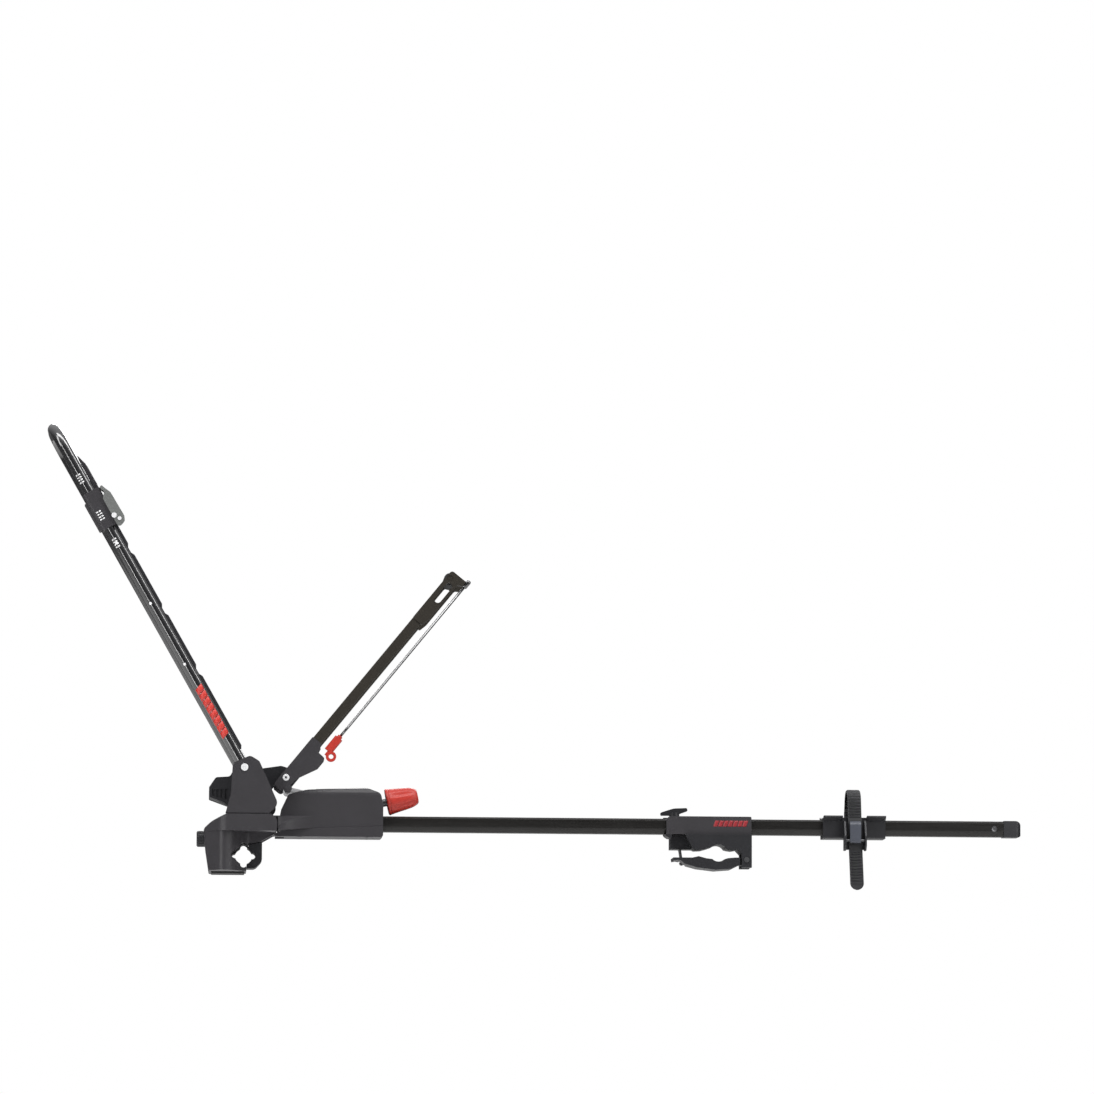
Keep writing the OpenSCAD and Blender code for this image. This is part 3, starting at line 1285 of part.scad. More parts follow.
module ladder_strap() {
  p = strap_path();
  left = path_side(p, strap_t / 2);
  right = path_side(p, -strap_t / 2);
  // Steps down the front run and the tail
  steps = floor((96 + tail_z - 20) / ladder_pitch);
  color(rubber_black) difference() {
    union() {
      along_x(strap_x - strap_w / 2, strap_x + strap_w / 2)
        polygon(concat(left, [for (i = [len(right) - 1:-1:0]) right[i]]));
      // Eye round the anchor pin
      translate([0, anchor_y, anchor_z]) cyl_x(anchor_d + 2 * strap_t, strap_x - strap_w / 2,
          strap_x + strap_w / 2);
      // Rounded tail
      translate([strap_x, strap_run - 6, -tail_z + strap_w / 2]) rotate([90 + 5.5, 0, 0])
        cylinder(d = strap_w, h = strap_t, center = true);
      for (i = [0:steps])
        let (z = 88 - i * ladder_pitch)
          if (z > 70 || z < 12)
            strap_step(z);
    }
    translate([0, anchor_y, anchor_z]) cyl_x(anchor_d + run_fit, strap_x - 30, strap_x + 30);
  }
}
// One ladder step on the strap's outer face at height z
module strap_step(z) {
  p = strap_path();
  n = len(p);
  y = z > 74 ? lookup(z, [[74, p[n - 4][0]], [loop_z - 24, -24 + strap_t / 2]])
    : lookup(z, [[-tail_z + strap_w / 2, p[n - 1][0]], [12, p[n - 2][0]], [64, p[n - 3][0]],
    [74, p[n - 4][0]]]);
  box(strap_x - strap_w / 2 + 2.5, strap_x + strap_w / 2 - 2.5, y - strap_t / 2 - 1.2, y, z - 1.4,
      z + 1.4);
}
module strap_pins() {
  color(steel) {
    translate([0, anchor_y, anchor_z]) cyl_x(anchor_d, strap_x - strap_w / 2 - 8,
        strap_x + strap_w / 2 + 8);
    translate([0, buckle_pin_y, buckle_pin_z]) cyl_x(buckle_pin_d, strap_x - frame_w / 2 - 0.5,
        strap_x + frame_w / 2 + 0.5);
  }
}

head_body();
foot_pad();
front_jaw_liner();
left_cheek();
right_cheek();
cheek_screws();
wheel_cradle();
cradle_bolts();
front_pivot_pins();
rear_pivot_pins();
tray_bar();
lower_cowl();
upper_cowl();
cowl_screws();
spindle_bracket();
bar_end_cap();
cap_screw();
rear_jaw();
clamp_rod();
front_knob();
knob_nut();
hoop_tube();
arm_bushes();
left_index_rail();
right_index_rail();
rail_rivets();
left_stop_sleeve();
right_stop_sleeve();
stop_pad();
lever_pin();
latch_lever();
latch_rivet();
left_rear_sleeve();
right_rear_sleeve();
left_rear_tube();
right_rear_tube();
left_rear_tip();
right_rear_tip();
rear_cross_rod();
rear_tyre_pad();
lock_cable();
cable_plug();
link_pins();
pull_links();
carriage();
tension_knob();
spindle();
mid_housing();
mid_upper_jaw();
mid_hinge_pin();
mid_screws();
mid_lower_jaw();
mid_bolt();
mid_knob();
saddle();
buckle_frame();
ladder_strap();
strap_pins();
buckle_lever();
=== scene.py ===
# %% [markdown]
# This lesson dresses a roof mounted bike carrier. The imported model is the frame: every solid of it already
# has its place and its size, in metres. What is left to do here is what the eye sees: rounded moulded
# edges, paints, plastics and rubbers, a flexible ladder strap, and the light of a studio.

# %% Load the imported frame
import json
import math

import bmesh
import bpy
from mathutils import Matrix, Vector


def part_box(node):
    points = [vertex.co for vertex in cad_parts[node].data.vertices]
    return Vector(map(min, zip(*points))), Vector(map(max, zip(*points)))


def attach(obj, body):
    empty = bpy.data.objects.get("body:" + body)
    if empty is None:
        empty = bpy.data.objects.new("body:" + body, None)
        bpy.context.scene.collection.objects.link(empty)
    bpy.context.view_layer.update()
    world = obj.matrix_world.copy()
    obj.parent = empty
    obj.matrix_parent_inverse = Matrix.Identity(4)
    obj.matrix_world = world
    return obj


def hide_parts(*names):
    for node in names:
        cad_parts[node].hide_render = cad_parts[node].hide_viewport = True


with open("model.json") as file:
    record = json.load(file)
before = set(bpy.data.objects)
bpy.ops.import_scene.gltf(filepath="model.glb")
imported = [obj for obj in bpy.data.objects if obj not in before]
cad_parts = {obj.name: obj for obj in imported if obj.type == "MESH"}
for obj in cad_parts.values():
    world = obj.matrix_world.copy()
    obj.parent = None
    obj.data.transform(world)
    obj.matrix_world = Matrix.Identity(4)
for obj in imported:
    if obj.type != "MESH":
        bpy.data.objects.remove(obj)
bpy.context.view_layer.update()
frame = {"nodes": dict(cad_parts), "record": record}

MM = 0.001
scene = bpy.context.scene
body_of_node = {node: body for body, nodes in frame["record"]["behaviour"]["bodies"].items() for node in nodes}
slot_of = {row["node"]: row["material_slot"] for row in frame["record"]["subparts"]}

# %% [markdown]
# The camera comes first, because every later choice is judged through it. The photograph was taken from far
# away with a long lens, a little below the carrier and a little to its left, so the camera looks up by 6.6
# degrees. The angles are turned into three axes by hand, which keeps the tiny roll of the picture.

# %% Camera
CAMERA_AZIMUTH = math.radians(-3.5)
CAMERA_ELEVATION = math.radians(-6.6)
CAMERA_ROLL = math.radians(0.25)
CAMERA_PLACE = Vector((-0.07033, -9.33617, -0.56101))
CAMERA_LENS, SENSOR_WIDTH, VIEW_END = 185.594, 36, 100


def make_camera():
    """A long lens camera on the left of the carrier, just below it."""
    back = Vector((
        math.sin(CAMERA_AZIMUTH) * math.cos(CAMERA_ELEVATION),
        -math.cos(CAMERA_AZIMUTH) * math.cos(CAMERA_ELEVATION),
        math.sin(CAMERA_ELEVATION),
    ))
    level = (-back).cross(Vector((0, 0, 1))).normalized()
    upright = level.cross(-back)
    right = math.cos(CAMERA_ROLL) * level + math.sin(CAMERA_ROLL) * upright
    up = -math.sin(CAMERA_ROLL) * level + math.cos(CAMERA_ROLL) * upright
    lens = bpy.data.cameras.new("photo_camera")
    lens.lens = CAMERA_LENS
    lens.sensor_width = SENSOR_WIDTH
    lens.clip_end = VIEW_END
    camera = bpy.data.objects.new("photo_camera", lens)
    turn = Matrix((right, up, back)).transposed().to_4x4()
    camera.matrix_world = Matrix.Translation(CAMERA_PLACE) @ turn
    scene.collection.objects.link(camera)
    scene.camera = camera
    return camera


print("camera at", [round(c, 2) for c in make_camera().location])

# %% [markdown]
# The studio is plain: a white backdrop, a pale floor below the carrier and long soft lamps. Dark paint and
# dark plastic show their form by what they mirror, and a surround that is white on every side would wash
# them grey. So only the camera sees the backdrop as white, and the carrier sees a room that is dim at eye
# level and bright overhead.

# %% Surround
ROOM = ((0.0, 0.20), (0.46, 0.08), (0.56, 0.10), (0.75, 0.40), (1.0, 0.85))
ROOM_BLUE = 1.02


def make_surround():
    """A white backdrop for the camera, and a room that brightens towards the ceiling for all other rays."""
    world = bpy.data.worlds.new("studio_surround")
    world.use_nodes = True
    nodes, links = world.node_tree.nodes, world.node_tree.links
    backdrop = nodes["Background"]
    backdrop.inputs["Color"].default_value = (1, 1, 1, 1)
    room = nodes.new("ShaderNodeBackground")
    place = nodes.new("ShaderNodeTexCoord")
    axes = nodes.new("ShaderNodeSeparateXYZ")
    height = nodes.new("ShaderNodeMapRange")
    height.inputs["From Min"].default_value = -1
    ramp = nodes.new("ShaderNodeValToRGB")
    for _ in range(len(ROOM) - 2):
        ramp.color_ramp.elements.new(0.5)
    for stop, (where, glow) in zip(ramp.color_ramp.elements, ROOM):
        stop.position = where
        stop.color = (glow, glow, glow * ROOM_BLUE, 1)
    links.new(place.outputs["Generated"], axes.inputs["Vector"])
    links.new(axes.outputs["Z"], height.inputs["Value"])
    links.new(height.outputs["Result"], ramp.inputs["Fac"])
    links.new(ramp.outputs["Color"], room.inputs["Color"])
    seen = nodes.new("ShaderNodeLightPath")
    choice = nodes.new("ShaderNodeMixShader")
    links.new(seen.outputs["Is Camera Ray"], choice.inputs["Fac"])
    links.new(room.outputs["Background"], choice.inputs[1])
    links.new(backdrop.outputs["Background"], choice.inputs[2])
    links.new(choice.outputs["Shader"], nodes["World Output"].inputs["Surface"])
    scene.world = world


make_surround()
scene.view_settings.view_transform = "Standard"
print("room stops:", len(ROOM))

# %% [markdown]
# The lamps are area lamps, because a large lamp gives the long soft lines that run down a painted tube. One
# hangs above and in front, one stands at the front left, and one behind lights the upper rims. Two narrow
# ones lean as the front arm does, right and left of the camera, and draw the two white lines down the hoop.
# They are hidden from the camera, so that no view of the carrier shows a lamp.

# %% Floor and lamps
FLOOR_MIDDLE, FLOOR_HALF = (0.4, 0.0, -0.72), 3.4
FLOOR_COLOUR, FLOOR_ROUGH = (0.86, 0.86, 0.85, 1), 0.9
# Each lamp: name, place, the point that it shines at, its two sides in metres, watts
LAMPS = (
    ("long_lamp_above", (0.3, -1.0, 2.5), (0.3, 0.0, 0.1), (3.6, 0.7), 52),
    ("side_lamp_left", (-2.4, -1.5, 1.3), (0.0, 0.0, 0.2), (0.7, 2.2), 26),
    ("back_lamp", (0.9, 2.2, 1.7), (0.3, 0.0, 0.1), (3.0, 0.7), 46),
)
HOOP_MIDDLE, STRIP_SIZE = (-0.16, 0.0, 0.42), (0.16, 2.6)
STRIPS = (
    ("strip_lamp_right", (1.35, -1.0, 1.15), HOOP_MIDDLE, STRIP_SIZE, 15),
    ("strip_lamp_left", (-1.13, -1.66, -0.10), HOOP_MIDDLE, STRIP_SIZE, 13),
)
ARM_LEAN = Vector((-0.497, 0.0, 0.868))


def make_floor():
    """A pale square floor, which is stage and no part of the carrier."""
    shape = bmesh.new()
    bmesh.ops.create_grid(shape, x_segments=1, y_segments=1, size=FLOOR_HALF)
    bmesh.ops.translate(shape, verts=shape.verts, vec=FLOOR_MIDDLE)
    mesh = bpy.data.meshes.new("pale_floor")
    shape.to_mesh(mesh)
    shape.free()
    floor = bpy.data.objects.new("pale_floor", mesh)
    scene.collection.objects.link(floor)
    paint = bpy.data.materials.new("pale_floor_paint")
    paint.use_nodes = True
    shader = paint.node_tree.nodes["Principled BSDF"]
    shader.inputs["Base Color"].default_value = FLOOR_COLOUR
    shader.inputs["Roughness"].default_value = FLOOR_ROUGH
    mesh.materials.append(paint)


def make_lamp(name, place, aim, size, watts, lean=Vector((0, 0, 1))):
    """A rectangular lamp that shines at a point, with its second side along a given lean."""
    light = bpy.data.lights.new(name, "AREA")
    light.shape = "RECTANGLE"
    light.size, light.size_y = size
    light.energy = watts
    lamp = bpy.data.objects.new(name, light)
    shine = (Vector(place) - Vector(aim)).normalized()
    level = lean.cross(shine).normalized()
    turn = Matrix((level, shine.cross(level), shine)).transposed().to_4x4()
    lamp.matrix_world = Matrix.Translation(place) @ turn
    lamp.visible_camera = False
    scene.collection.objects.link(lamp)


make_floor()
for lamp in LAMPS:
    make_lamp(*lamp)
for strip in STRIPS:
    make_lamp(*strip, lean=ARM_LEAN)
print("lamps:", len(LAMPS) + len(STRIPS))

# %% [markdown]
# One recipe makes all finishes. A broad noise shifts the colour a little, as moulded plastic and paint do
# from place to place, and a fine noise drives roughness and bump, which is the grain that the hand feels.
# Both read Object coordinates in metres, so a scale of 900 means grains of about one millimetre. Stretching
# the fine noise along X turns grains into the drawing lines of an extruded bar.

# %% Finish recipe
COAT_ROUGH, COAT_IOR = 0.06, 1.7
CLOUD_SCALE, CLOUD_DETAIL = 26, 4
GRAIN_DETAIL, GRAIN_LOW, GRAIN_HIGH, BUMP_STRENGTH = 3, 0.3, 0.7, 0.5
MIX_SHARE, MIX_FIRST, MIX_SECOND, MIX_RESULT = 0, 6, 7, 2


def finish(name, dark, light, rough, spread, grains, height, stretch=(1, 1, 1), metal=0.0, coat=0.0, shine=0.5):
    """A node-based finish with colour variation, grain in the roughness, and a fine bump."""
    paint = bpy.data.materials.new(name)
    paint.use_nodes = True
    nodes, links = paint.node_tree.nodes, paint.node_tree.links
    shader = nodes["Principled BSDF"]
    shader.inputs["Metallic"].default_value = metal
    shader.inputs["Coat Weight"].default_value = coat
    shader.inputs["Coat Roughness"].default_value = COAT_ROUGH
    shader.inputs["Coat IOR"].default_value = COAT_IOR
    shader.inputs["Specular IOR Level"].default_value = shine
    place = nodes.new("ShaderNodeTexCoord")
    turn = nodes.new("ShaderNodeMapping")
    turn.inputs["Scale"].default_value = stretch
    links.new(place.outputs["Object"], turn.inputs["Vector"])
    cloud = nodes.new("ShaderNodeTexNoise")
    cloud.inputs["Scale"].default_value = CLOUD_SCALE
    cloud.inputs["Detail"].default_value = CLOUD_DETAIL
    links.new(place.outputs["Object"], cloud.inputs["Vector"])
    tint = nodes.new("ShaderNodeMix")
    tint.data_type = "RGBA"
    tint.inputs[MIX_FIRST].default_value = (*dark, 1)
    tint.inputs[MIX_SECOND].default_value = (*light, 1)
    links.new(cloud.outputs["Fac"], tint.inputs[MIX_SHARE])
    links.new(tint.outputs[MIX_RESULT], shader.inputs["Base Color"])
    grain = nodes.new("ShaderNodeTexNoise")
    grain.inputs["Scale"].default_value = grains
    grain.inputs["Detail"].default_value = GRAIN_DETAIL
    links.new(turn.outputs["Vector"], grain.inputs["Vector"])
    span = nodes.new("ShaderNodeMapRange")
    span.inputs["From Min"].default_value = GRAIN_LOW
    span.inputs["From Max"].default_value = GRAIN_HIGH
    span.inputs["To Min"].default_value = rough - spread
    span.inputs["To Max"].default_value = rough + spread
    links.new(grain.outputs["Fac"], span.inputs["Value"])
    links.new(span.outputs["Result"], shader.inputs["Roughness"])
    bump = nodes.new("ShaderNodeBump")
    bump.inputs["Distance"].default_value = height
    bump.inputs["Strength"].default_value = BUMP_STRENGTH
    links.new(grain.outputs["Fac"], bump.inputs["Height"])
    links.new(bump.outputs["Normal"], shader.inputs["Normal"])
    return paint


# %% [markdown]
# The carrier has a dozen finishes. The moulded housings are a dark warm grey with a fine spark-eroded
# grain, the hoop is gloss black paint under a clear skin, the rear arm a satin brown black, the bar black
# anodised with drawing lines, the knob and the cable plug signal red. Each is named as the material slot
# that it stands for.

# %% Finishes
# Each row: darker and lighter colour, roughness and its spread, grains per metre, bump height in metres, extras
RECIPES = {
    "charcoal_plastic": ((0.025, 0.023, 0.026), (0.034, 0.032, 0.036), 0.46, 0.07, 1300, 0.00012, {}),
    "black_plastic": ((0.008, 0.008, 0.010), (0.013, 0.013, 0.016), 0.46, 0.08, 1100, 0.00012, {}),
    "gloss_black_paint": ((0.006, 0.006, 0.007), (0.009, 0.009, 0.010), 0.20, 0.03, 260, 0.00002,
                          {"coat": 1.0, "shine": 0.8}),
    "brown_black_paint": ((0.018, 0.015, 0.011), (0.027, 0.023, 0.017), 0.40, 0.06, 700, 0.00008, {}),
    "anodised_bar": ((0.011, 0.010, 0.009), (0.016, 0.015, 0.014), 0.34, 0.07, 1500, 0.00005,
                     {"stretch": (0.012, 1, 1), "metal": 0.3}),
    "black_rubber": ((0.010, 0.010, 0.010), (0.018, 0.018, 0.018), 0.78, 0.08, 600, 0.0002, {}),
    "red_plastic": ((0.40, 0.022, 0.013), (0.47, 0.030, 0.018), 0.46, 0.06, 900, 0.00008, {}),
    "grey_plastic": ((0.115, 0.120, 0.115), (0.150, 0.155, 0.150), 0.45, 0.06, 900, 0.00008, {}),
    "slate_plastic": ((0.050, 0.055, 0.070), (0.066, 0.072, 0.090), 0.40, 0.06, 900, 0.00008, {}),
    "bright_steel": ((0.80, 0.80, 0.81), (0.92, 0.92, 0.93), 0.42, 0.08, 1600, 0.00003, {"metal": 0.35}),
    "dark_steel": ((0.10, 0.10, 0.105), (0.14, 0.14, 0.145), 0.38, 0.08, 1500, 0.00004, {"metal": 0.8}),
    "strap_rubber": ((0.012, 0.012, 0.014), (0.019, 0.019, 0.021), 0.52, 0.08, 800, 0.0001, {}),
}
FINISHES = {slot: finish(slot, *recipe, **extras) for slot, (*recipe, extras) in RECIPES.items()}
for node, solid in frame["nodes"].items():
    solid.data.materials.clear()
    solid.data.materials.append(FINISHES[slot_of[node]])
print("finishes:", len(FINISHES), "painted nodes:", len(slot_of))

# %% [markdown]
# A moulded part never has a knife edge, and a rounded edge is where dark plastic catches the light. A copy
# of each solid is made for that: its loose triangles are merged, flat triangles are joined to whole faces,
# and a Bevel modifier rolls every sharp edge by a given width. Weighted normals keep the flats flat. The
# copy then stands for the solid, which stays behind it for the collision.

# %% Rounded copies
WELD = 0.02 * MM
FLAT = math.radians(0.4)
SHARP = math.radians(32)


def dress(name, shape, body, slot, *nodes, look=None):
    """Turns a bmesh into a piece that rides on a body, has a finish, and may stand for CAD nodes."""
    mesh = bpy.data.meshes.new(name)
    shape.to_mesh(mesh)
    shape.free()
    for face in mesh.polygons:
        face.use_smooth = True
    mesh.materials.append(look or FINISHES[slot])
    piece = bpy.data.objects.new(name, mesh)
    scene.collection.objects.link(piece)
    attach(piece, body)
    if nodes:
        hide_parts(*nodes)
    return piece


def roll_edges(piece, width, segments=3):
    """Rounds the sharp edges of a piece and keeps its flats flat."""
    bevel = piece.modifiers.new("rolled_edges", "BEVEL")
    bevel.width = width * MM
    bevel.segments = segments
    bevel.limit_method = "ANGLE"
    bevel.angle_limit = SHARP
    bevel.use_clamp_overlap = True
    normals = piece.modifiers.new("flat_flats", "WEIGHTED_NORMAL")
    normals.keep_sharp = True
    return piece


def merged(node):
    """A bmesh of a CAD node with whole faces in place of loose triangles."""
    shape = bmesh.new()
    shape.from_mesh(frame["nodes"][node].data)
    bmesh.ops.remove_doubles(shape, verts=shape.verts, dist=WELD)
    bmesh.ops.dissolve_limit(shape, angle_limit=FLAT, verts=shape.verts, edges=shape.edges)
    return shape


EDGE_WIDTHS = {
    "head_body": 2.0, "left_cheek": 1.4, "right_cheek": 1.4, "upper_cowl": 2.0, "lower_cowl": 1.4,
    "wheel_cradle": 0.5, "bar_end_cap": 0.9, "foot_pad": 0.6, "front_jaw_liner": 0.5, "rear_jaw": 0.8,
    "front_knob": 0.25, "tray_bar": 0.3, "left_stop_sleeve": 0.7, "right_stop_sleeve": 0.7, "stop_pad": 0.8,
    "latch_lever": 0.6, "left_rear_sleeve": 1.0, "right_rear_sleeve": 1.0, "left_rear_tube": 1.2,
    "right_rear_tube": 1.2, "left_rear_tip": 0.9, "right_rear_tip": 0.9, "cable_plug": 0.5, "mid_housing": 1.0,
    "mid_upper_jaw": 0.7, "mid_lower_jaw": 0.8, "mid_knob": 0.9, "saddle": 0.7, "buckle_frame": 0.5,
    "buckle_lever": 0.6, "left_index_rail": 0.25, "right_index_rail": 0.25, "pull_links": 0.3,
    "front_pivot_pins": 0.7, "rear_pivot_pins": 0.3, "lever_pin": 0.4, "latch_rivet": 0.5, "hoop_tube": 0.3,
}
for node, width in EDGE_WIDTHS.items():
    piece = dress(node + "_rounded", merged(node), body_of_node[node], slot_of[node], node)
    roll_edges(piece, width)
print("rounded copies:", len(EDGE_WIDTHS))

# %% [markdown]
# Screws carry a drive recess. Their heads are flat discs in the solid, so the copy is opened where a disc
# faces outwards: an inset draws a smaller ring on the disc, and moving the inner face inwards sinks it.
# That is quicker than cutting each head with a boolean, and it leaves clean rings for the rounded rim.

# %% Screw heads
# Depth of the drive recess in mm, for each node with screws
SCREWS = {"cheek_screws": 1.6, "cowl_screws": 1.4, "cap_screw": 1.0, "mid_screws": 1.6, "cradle_bolts": 1.8}
DISC_CORNERS, HEAD_REACH, FACING, DRIVE_SHARE = 12, 2.4, 0.9, 0.45
DRIVE_EDGE = 0.3


def sink_drives(shape, depth):
    """Sinks a round drive recess into each flat disc that faces away from the carrier's middle."""
    discs = [f for f in shape.faces if len(f.verts) >= DISC_CORNERS]
    heads = []
    for disc in discs:
        middle = disc.calc_center_median()
        reach = max((v.co - middle).length for v in disc.verts)
        sideways = Vector((0, math.copysign(1, middle.y), 0))
        outward = max(disc.normal.dot(sideways), disc.normal.dot(Vector((0, 0, -1))))
        if outward > FACING and reach > HEAD_REACH * MM:
            heads.append((disc, reach))
    for disc, reach in heads:
        rim = reach * (1 - DRIVE_SHARE)
        bmesh.ops.inset_individual(shape, faces=[disc], thickness=rim, use_even_offset=True)
        bmesh.ops.translate(shape, verts=disc.verts, vec=-disc.normal * depth * MM)
    return len(heads)


for node, depth in SCREWS.items():
    shape = merged(node)
    sunk = sink_drives(shape, depth)
    roll_edges(dress(node + "_driven", shape, body_of_node[node], slot_of[node], node), DRIVE_EDGE, 2)
    print(node, "drives:", sunk)

# %% [markdown]
# A thin near-black strip of painted shade lies along the foot of each cheek, on the deck, and draws the shadow
# line of the seam between cheek and deck. It is a flat grid that is extruded upwards and rounded, which is all
# that such a strip needs.

# %% Painted shade under the cheeks
# Place and size in mm of the near-black strips that paint the seam's shadow line
SHADE_STRIP_X, SHADE_STRIP_Z, SHADE_STRIP_H, SHADE_STRIP_PROUD = (-30.0, 38.0), 65.9, 1.5, 0.2
SHADE_STRIP_W, SHADE_STRIP_EDGE = 3.0, 0.2


def cheek_shade_strip(side):
    """The strip of painted shade under one cheek, on the left (-1) or on the right (1)."""
    low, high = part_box("left_cheek" if side < 0 else "right_cheek")
    outer = (low if side < 0 else high)[1] / MM + side * SHADE_STRIP_PROUD
    shape = bmesh.new()
    foot = bmesh.ops.create_grid(shape, x_segments=12, y_segments=1, size=0.5)["verts"]
    bmesh.ops.scale(shape, verts=foot, vec=(SHADE_STRIP_X[1] - SHADE_STRIP_X[0], SHADE_STRIP_W, 1))
    bmesh.ops.translate(shape, verts=foot, vec=(sum(SHADE_STRIP_X) / 2, outer - side * SHADE_STRIP_W / 2, SHADE_STRIP_Z))
    grown = bmesh.ops.extrude_face_region(shape, geom=shape.faces[:])["geom"]
    top = [g for g in grown if isinstance(g, bmesh.types.BMVert)]
    bmesh.ops.translate(shape, verts=top, vec=(0, 0, SHADE_STRIP_H))
    bmesh.ops.recalc_face_normals(shape, faces=shape.faces)
    bmesh.ops.scale(shape, verts=shape.verts, vec=(MM, MM, MM))
    return shape


# Painted shade: a near-black finish with almost no shine, so that the strips read as the seam's shadow
painted_seam_shade = finish("painted_seam_shade", (0.002, 0.002, 0.002), (0.004, 0.004, 0.004), 0.80, 0.08, 600, 0.0001,
                     shine=0.1)
for name, side in (("left_cheek_shade_strip", -1), ("right_cheek_shade_strip", 1)):
    shade_strip = dress(name, cheek_shade_strip(side), body_of_node["left_cheek"], "black_rubber", look=painted_seam_shade)
    roll_edges(shade_strip, SHADE_STRIP_EDGE, 2)
print("seal in mm: long", SHADE_STRIP_X[1] - SHADE_STRIP_X[0], "high", SHADE_STRIP_H)

# %% [markdown]
# Two frames help to place things on the arms: along the arm, across the carrier, and away from the wheel.
# They are the same axes that the arms were drawn in, so a length read off the arm goes in as it is, in
# millimetres.

# %% Arm frames
FRONT_PIVOT, FRONT_DIR = (0.0, 142.3), (-0.496974, 0.867765)
REAR_PIVOT, REAR_DIR = (68.5, 128.3), (0.63068, 0.77605)
HOOP_LENGTH = 658


def arm_frame(pivot, along):
    """Millimetres along the arm, across, and upwards from it, turned into the carrier's metres."""
    x_axis = Vector((along[0], 0, along[1]))
    y_axis = Vector((0, 1, 0))
    turn = Matrix((x_axis, y_axis, x_axis.cross(y_axis))).transposed().to_4x4()
    return Matrix.Scale(MM, 4) @ Matrix.Translation((pivot[0], 0, pivot[1])) @ turn


front_arm = arm_frame(FRONT_PIVOT, FRONT_DIR)
rear_arm = arm_frame(REAR_PIVOT, REAR_DIR)
print("top of the front arm:", [round(c, 3) for c in front_arm @ Vector((HOOP_LENGTH, 0, 0))])

# %% [markdown]
# The lock cable is a steel cable in a glossy black sheath. It runs straight along the rear arm, from the
# red plug to a round head in the tip casting, and is held taut at both ends, so it has no sag. A circle is
# extruded in steps along the arm, which keeps points on its line that can be measured.

# %% Lock cable
CABLE_D, CABLE_START, CABLE_END = 4.5, 110.0, 432.0
CABLE_SIDE, CABLE_DROP = -44.5, -25.5
CABLE_STEPS = 16
HEAD_PROFILE = ((431.0, 0.0), (431.0, 4.0), (431.5, 4.5), (442.0, 4.5), (444.4, 3.9), (445.8, 2.4),
                (446.4, 0.9), (446.5, 0.0))


def turned(profile, steps, place):
    """A closed shape turned round the X axis from a profile of (along, radius) points, put in place."""
    shape = bmesh.new()
    line = [shape.verts.new((along, 0, radius)) for along, radius in profile]
    edges = [shape.edges.new(pair) for pair in zip(line, line[1:])]
    bmesh.ops.spin(shape, geom=line + edges, axis=(1, 0, 0), cent=(0, 0, 0), angle=math.tau, steps=steps,
                   use_merge=True)
    bmesh.ops.remove_doubles(shape, verts=shape.verts, dist=0.001)
    bmesh.ops.recalc_face_normals(shape, faces=shape.faces)
    bmesh.ops.transform(shape, matrix=place, verts=shape.verts)
    return shape


def straight_cable():
    """A round sheath that is extruded along the rear arm in equal steps."""
    shape = bmesh.new()
    ring = bmesh.ops.create_circle(shape, cap_ends=True, radius=CABLE_D / 2, segments=16)
    bmesh.ops.rotate(shape, verts=ring["verts"], cent=(0, 0, 0), matrix=Matrix.Rotation(math.pi / 2, 3, "Y"))
    end = shape.faces[:]
    for _ in range(CABLE_STEPS):
        grown = bmesh.ops.extrude_face_region(shape, geom=end)["geom"]
        end = [g for g in grown if isinstance(g, bmesh.types.BMFace)]
        tip = [g for g in grown if isinstance(g, bmesh.types.BMVert)]
        bmesh.ops.translate(shape, verts=tip, vec=((CABLE_END - CABLE_START) / CABLE_STEPS, 0, 0))
    bmesh.ops.recalc_face_normals(shape, faces=shape.faces)
    place = rear_arm @ Matrix.Translation((CABLE_START, CABLE_SIDE, CABLE_DROP))
    bmesh.ops.transform(shape, matrix=place, verts=shape.verts)
    return shape


head_place = rear_arm @ Matrix.Translation((0, CABLE_SIDE, CABLE_DROP))
cable_head = dress("lock_cable_head", turned(HEAD_PROFILE, 32, head_place), body_of_node["lock_cable"],
                   "gloss_black_paint")
cable = dress("lock_cable_sheath", straight_cable(), body_of_node["lock_cable"], "gloss_black_paint",
              "lock_cable")
print("cable in mm:", CABLE_END - CABLE_START)

# %% [markdown]
# The tension knob is a moulded grip: a flange, a barrel with six shallow finger flutes, and a tapered end.
# A profile is spun round the spindle's axis, and then the points of the barrel are pulled in where a flute
# lies, more in the middle of the flute and less towards its ends, as a cutter with a round nose would leave
# it.

# %% Tension knob
SPINDLE_PLACE, SPINDLE_TILT = (231.3, 0, 90.9), math.radians(-11.8)
SPINDLE = Matrix.Scale(MM, 4) @ Matrix.Translation(SPINDLE_PLACE) @ Matrix.Rotation(SPINDLE_TILT, 4, "Y")
KNOB_PROFILE = ((31.0, 0.0), (31.0, 6.56), (5.0, 6.56), (5.0, 20.6), (5.5, 21.5), (6.4, 22.0), (8.6, 22.0),
                (9.2, 21.7), (9.4, 21.2), (10.1, 21.2), (10.4, 21.6), (12.0, 21.4), (16.0, 20.9),
                (20.0, 20.4), (24.0, 19.9), (28.0, 19.4), (32.0, 18.9), (36.0, 18.4), (40.0, 17.9),
                (43.0, 17.4), (46.0, 16.8), (49.0, 15.8), (52.0, 14.5), (54.5, 13.2), (56.2, 11.9),
                (57.2, 10.0), (57.5, 8.0), (57.5, 0.0))
FLUTES, FLUTE_DEPTH, FLUTE_FROM, FLUTE_TO = 6, 1.5, 11.0, 53.0
FLUTE_PHASE, FLUTE_NOSE, FLUTE_FADE, BORE_SIDE = 0.7, 1.5, 0.5, 10


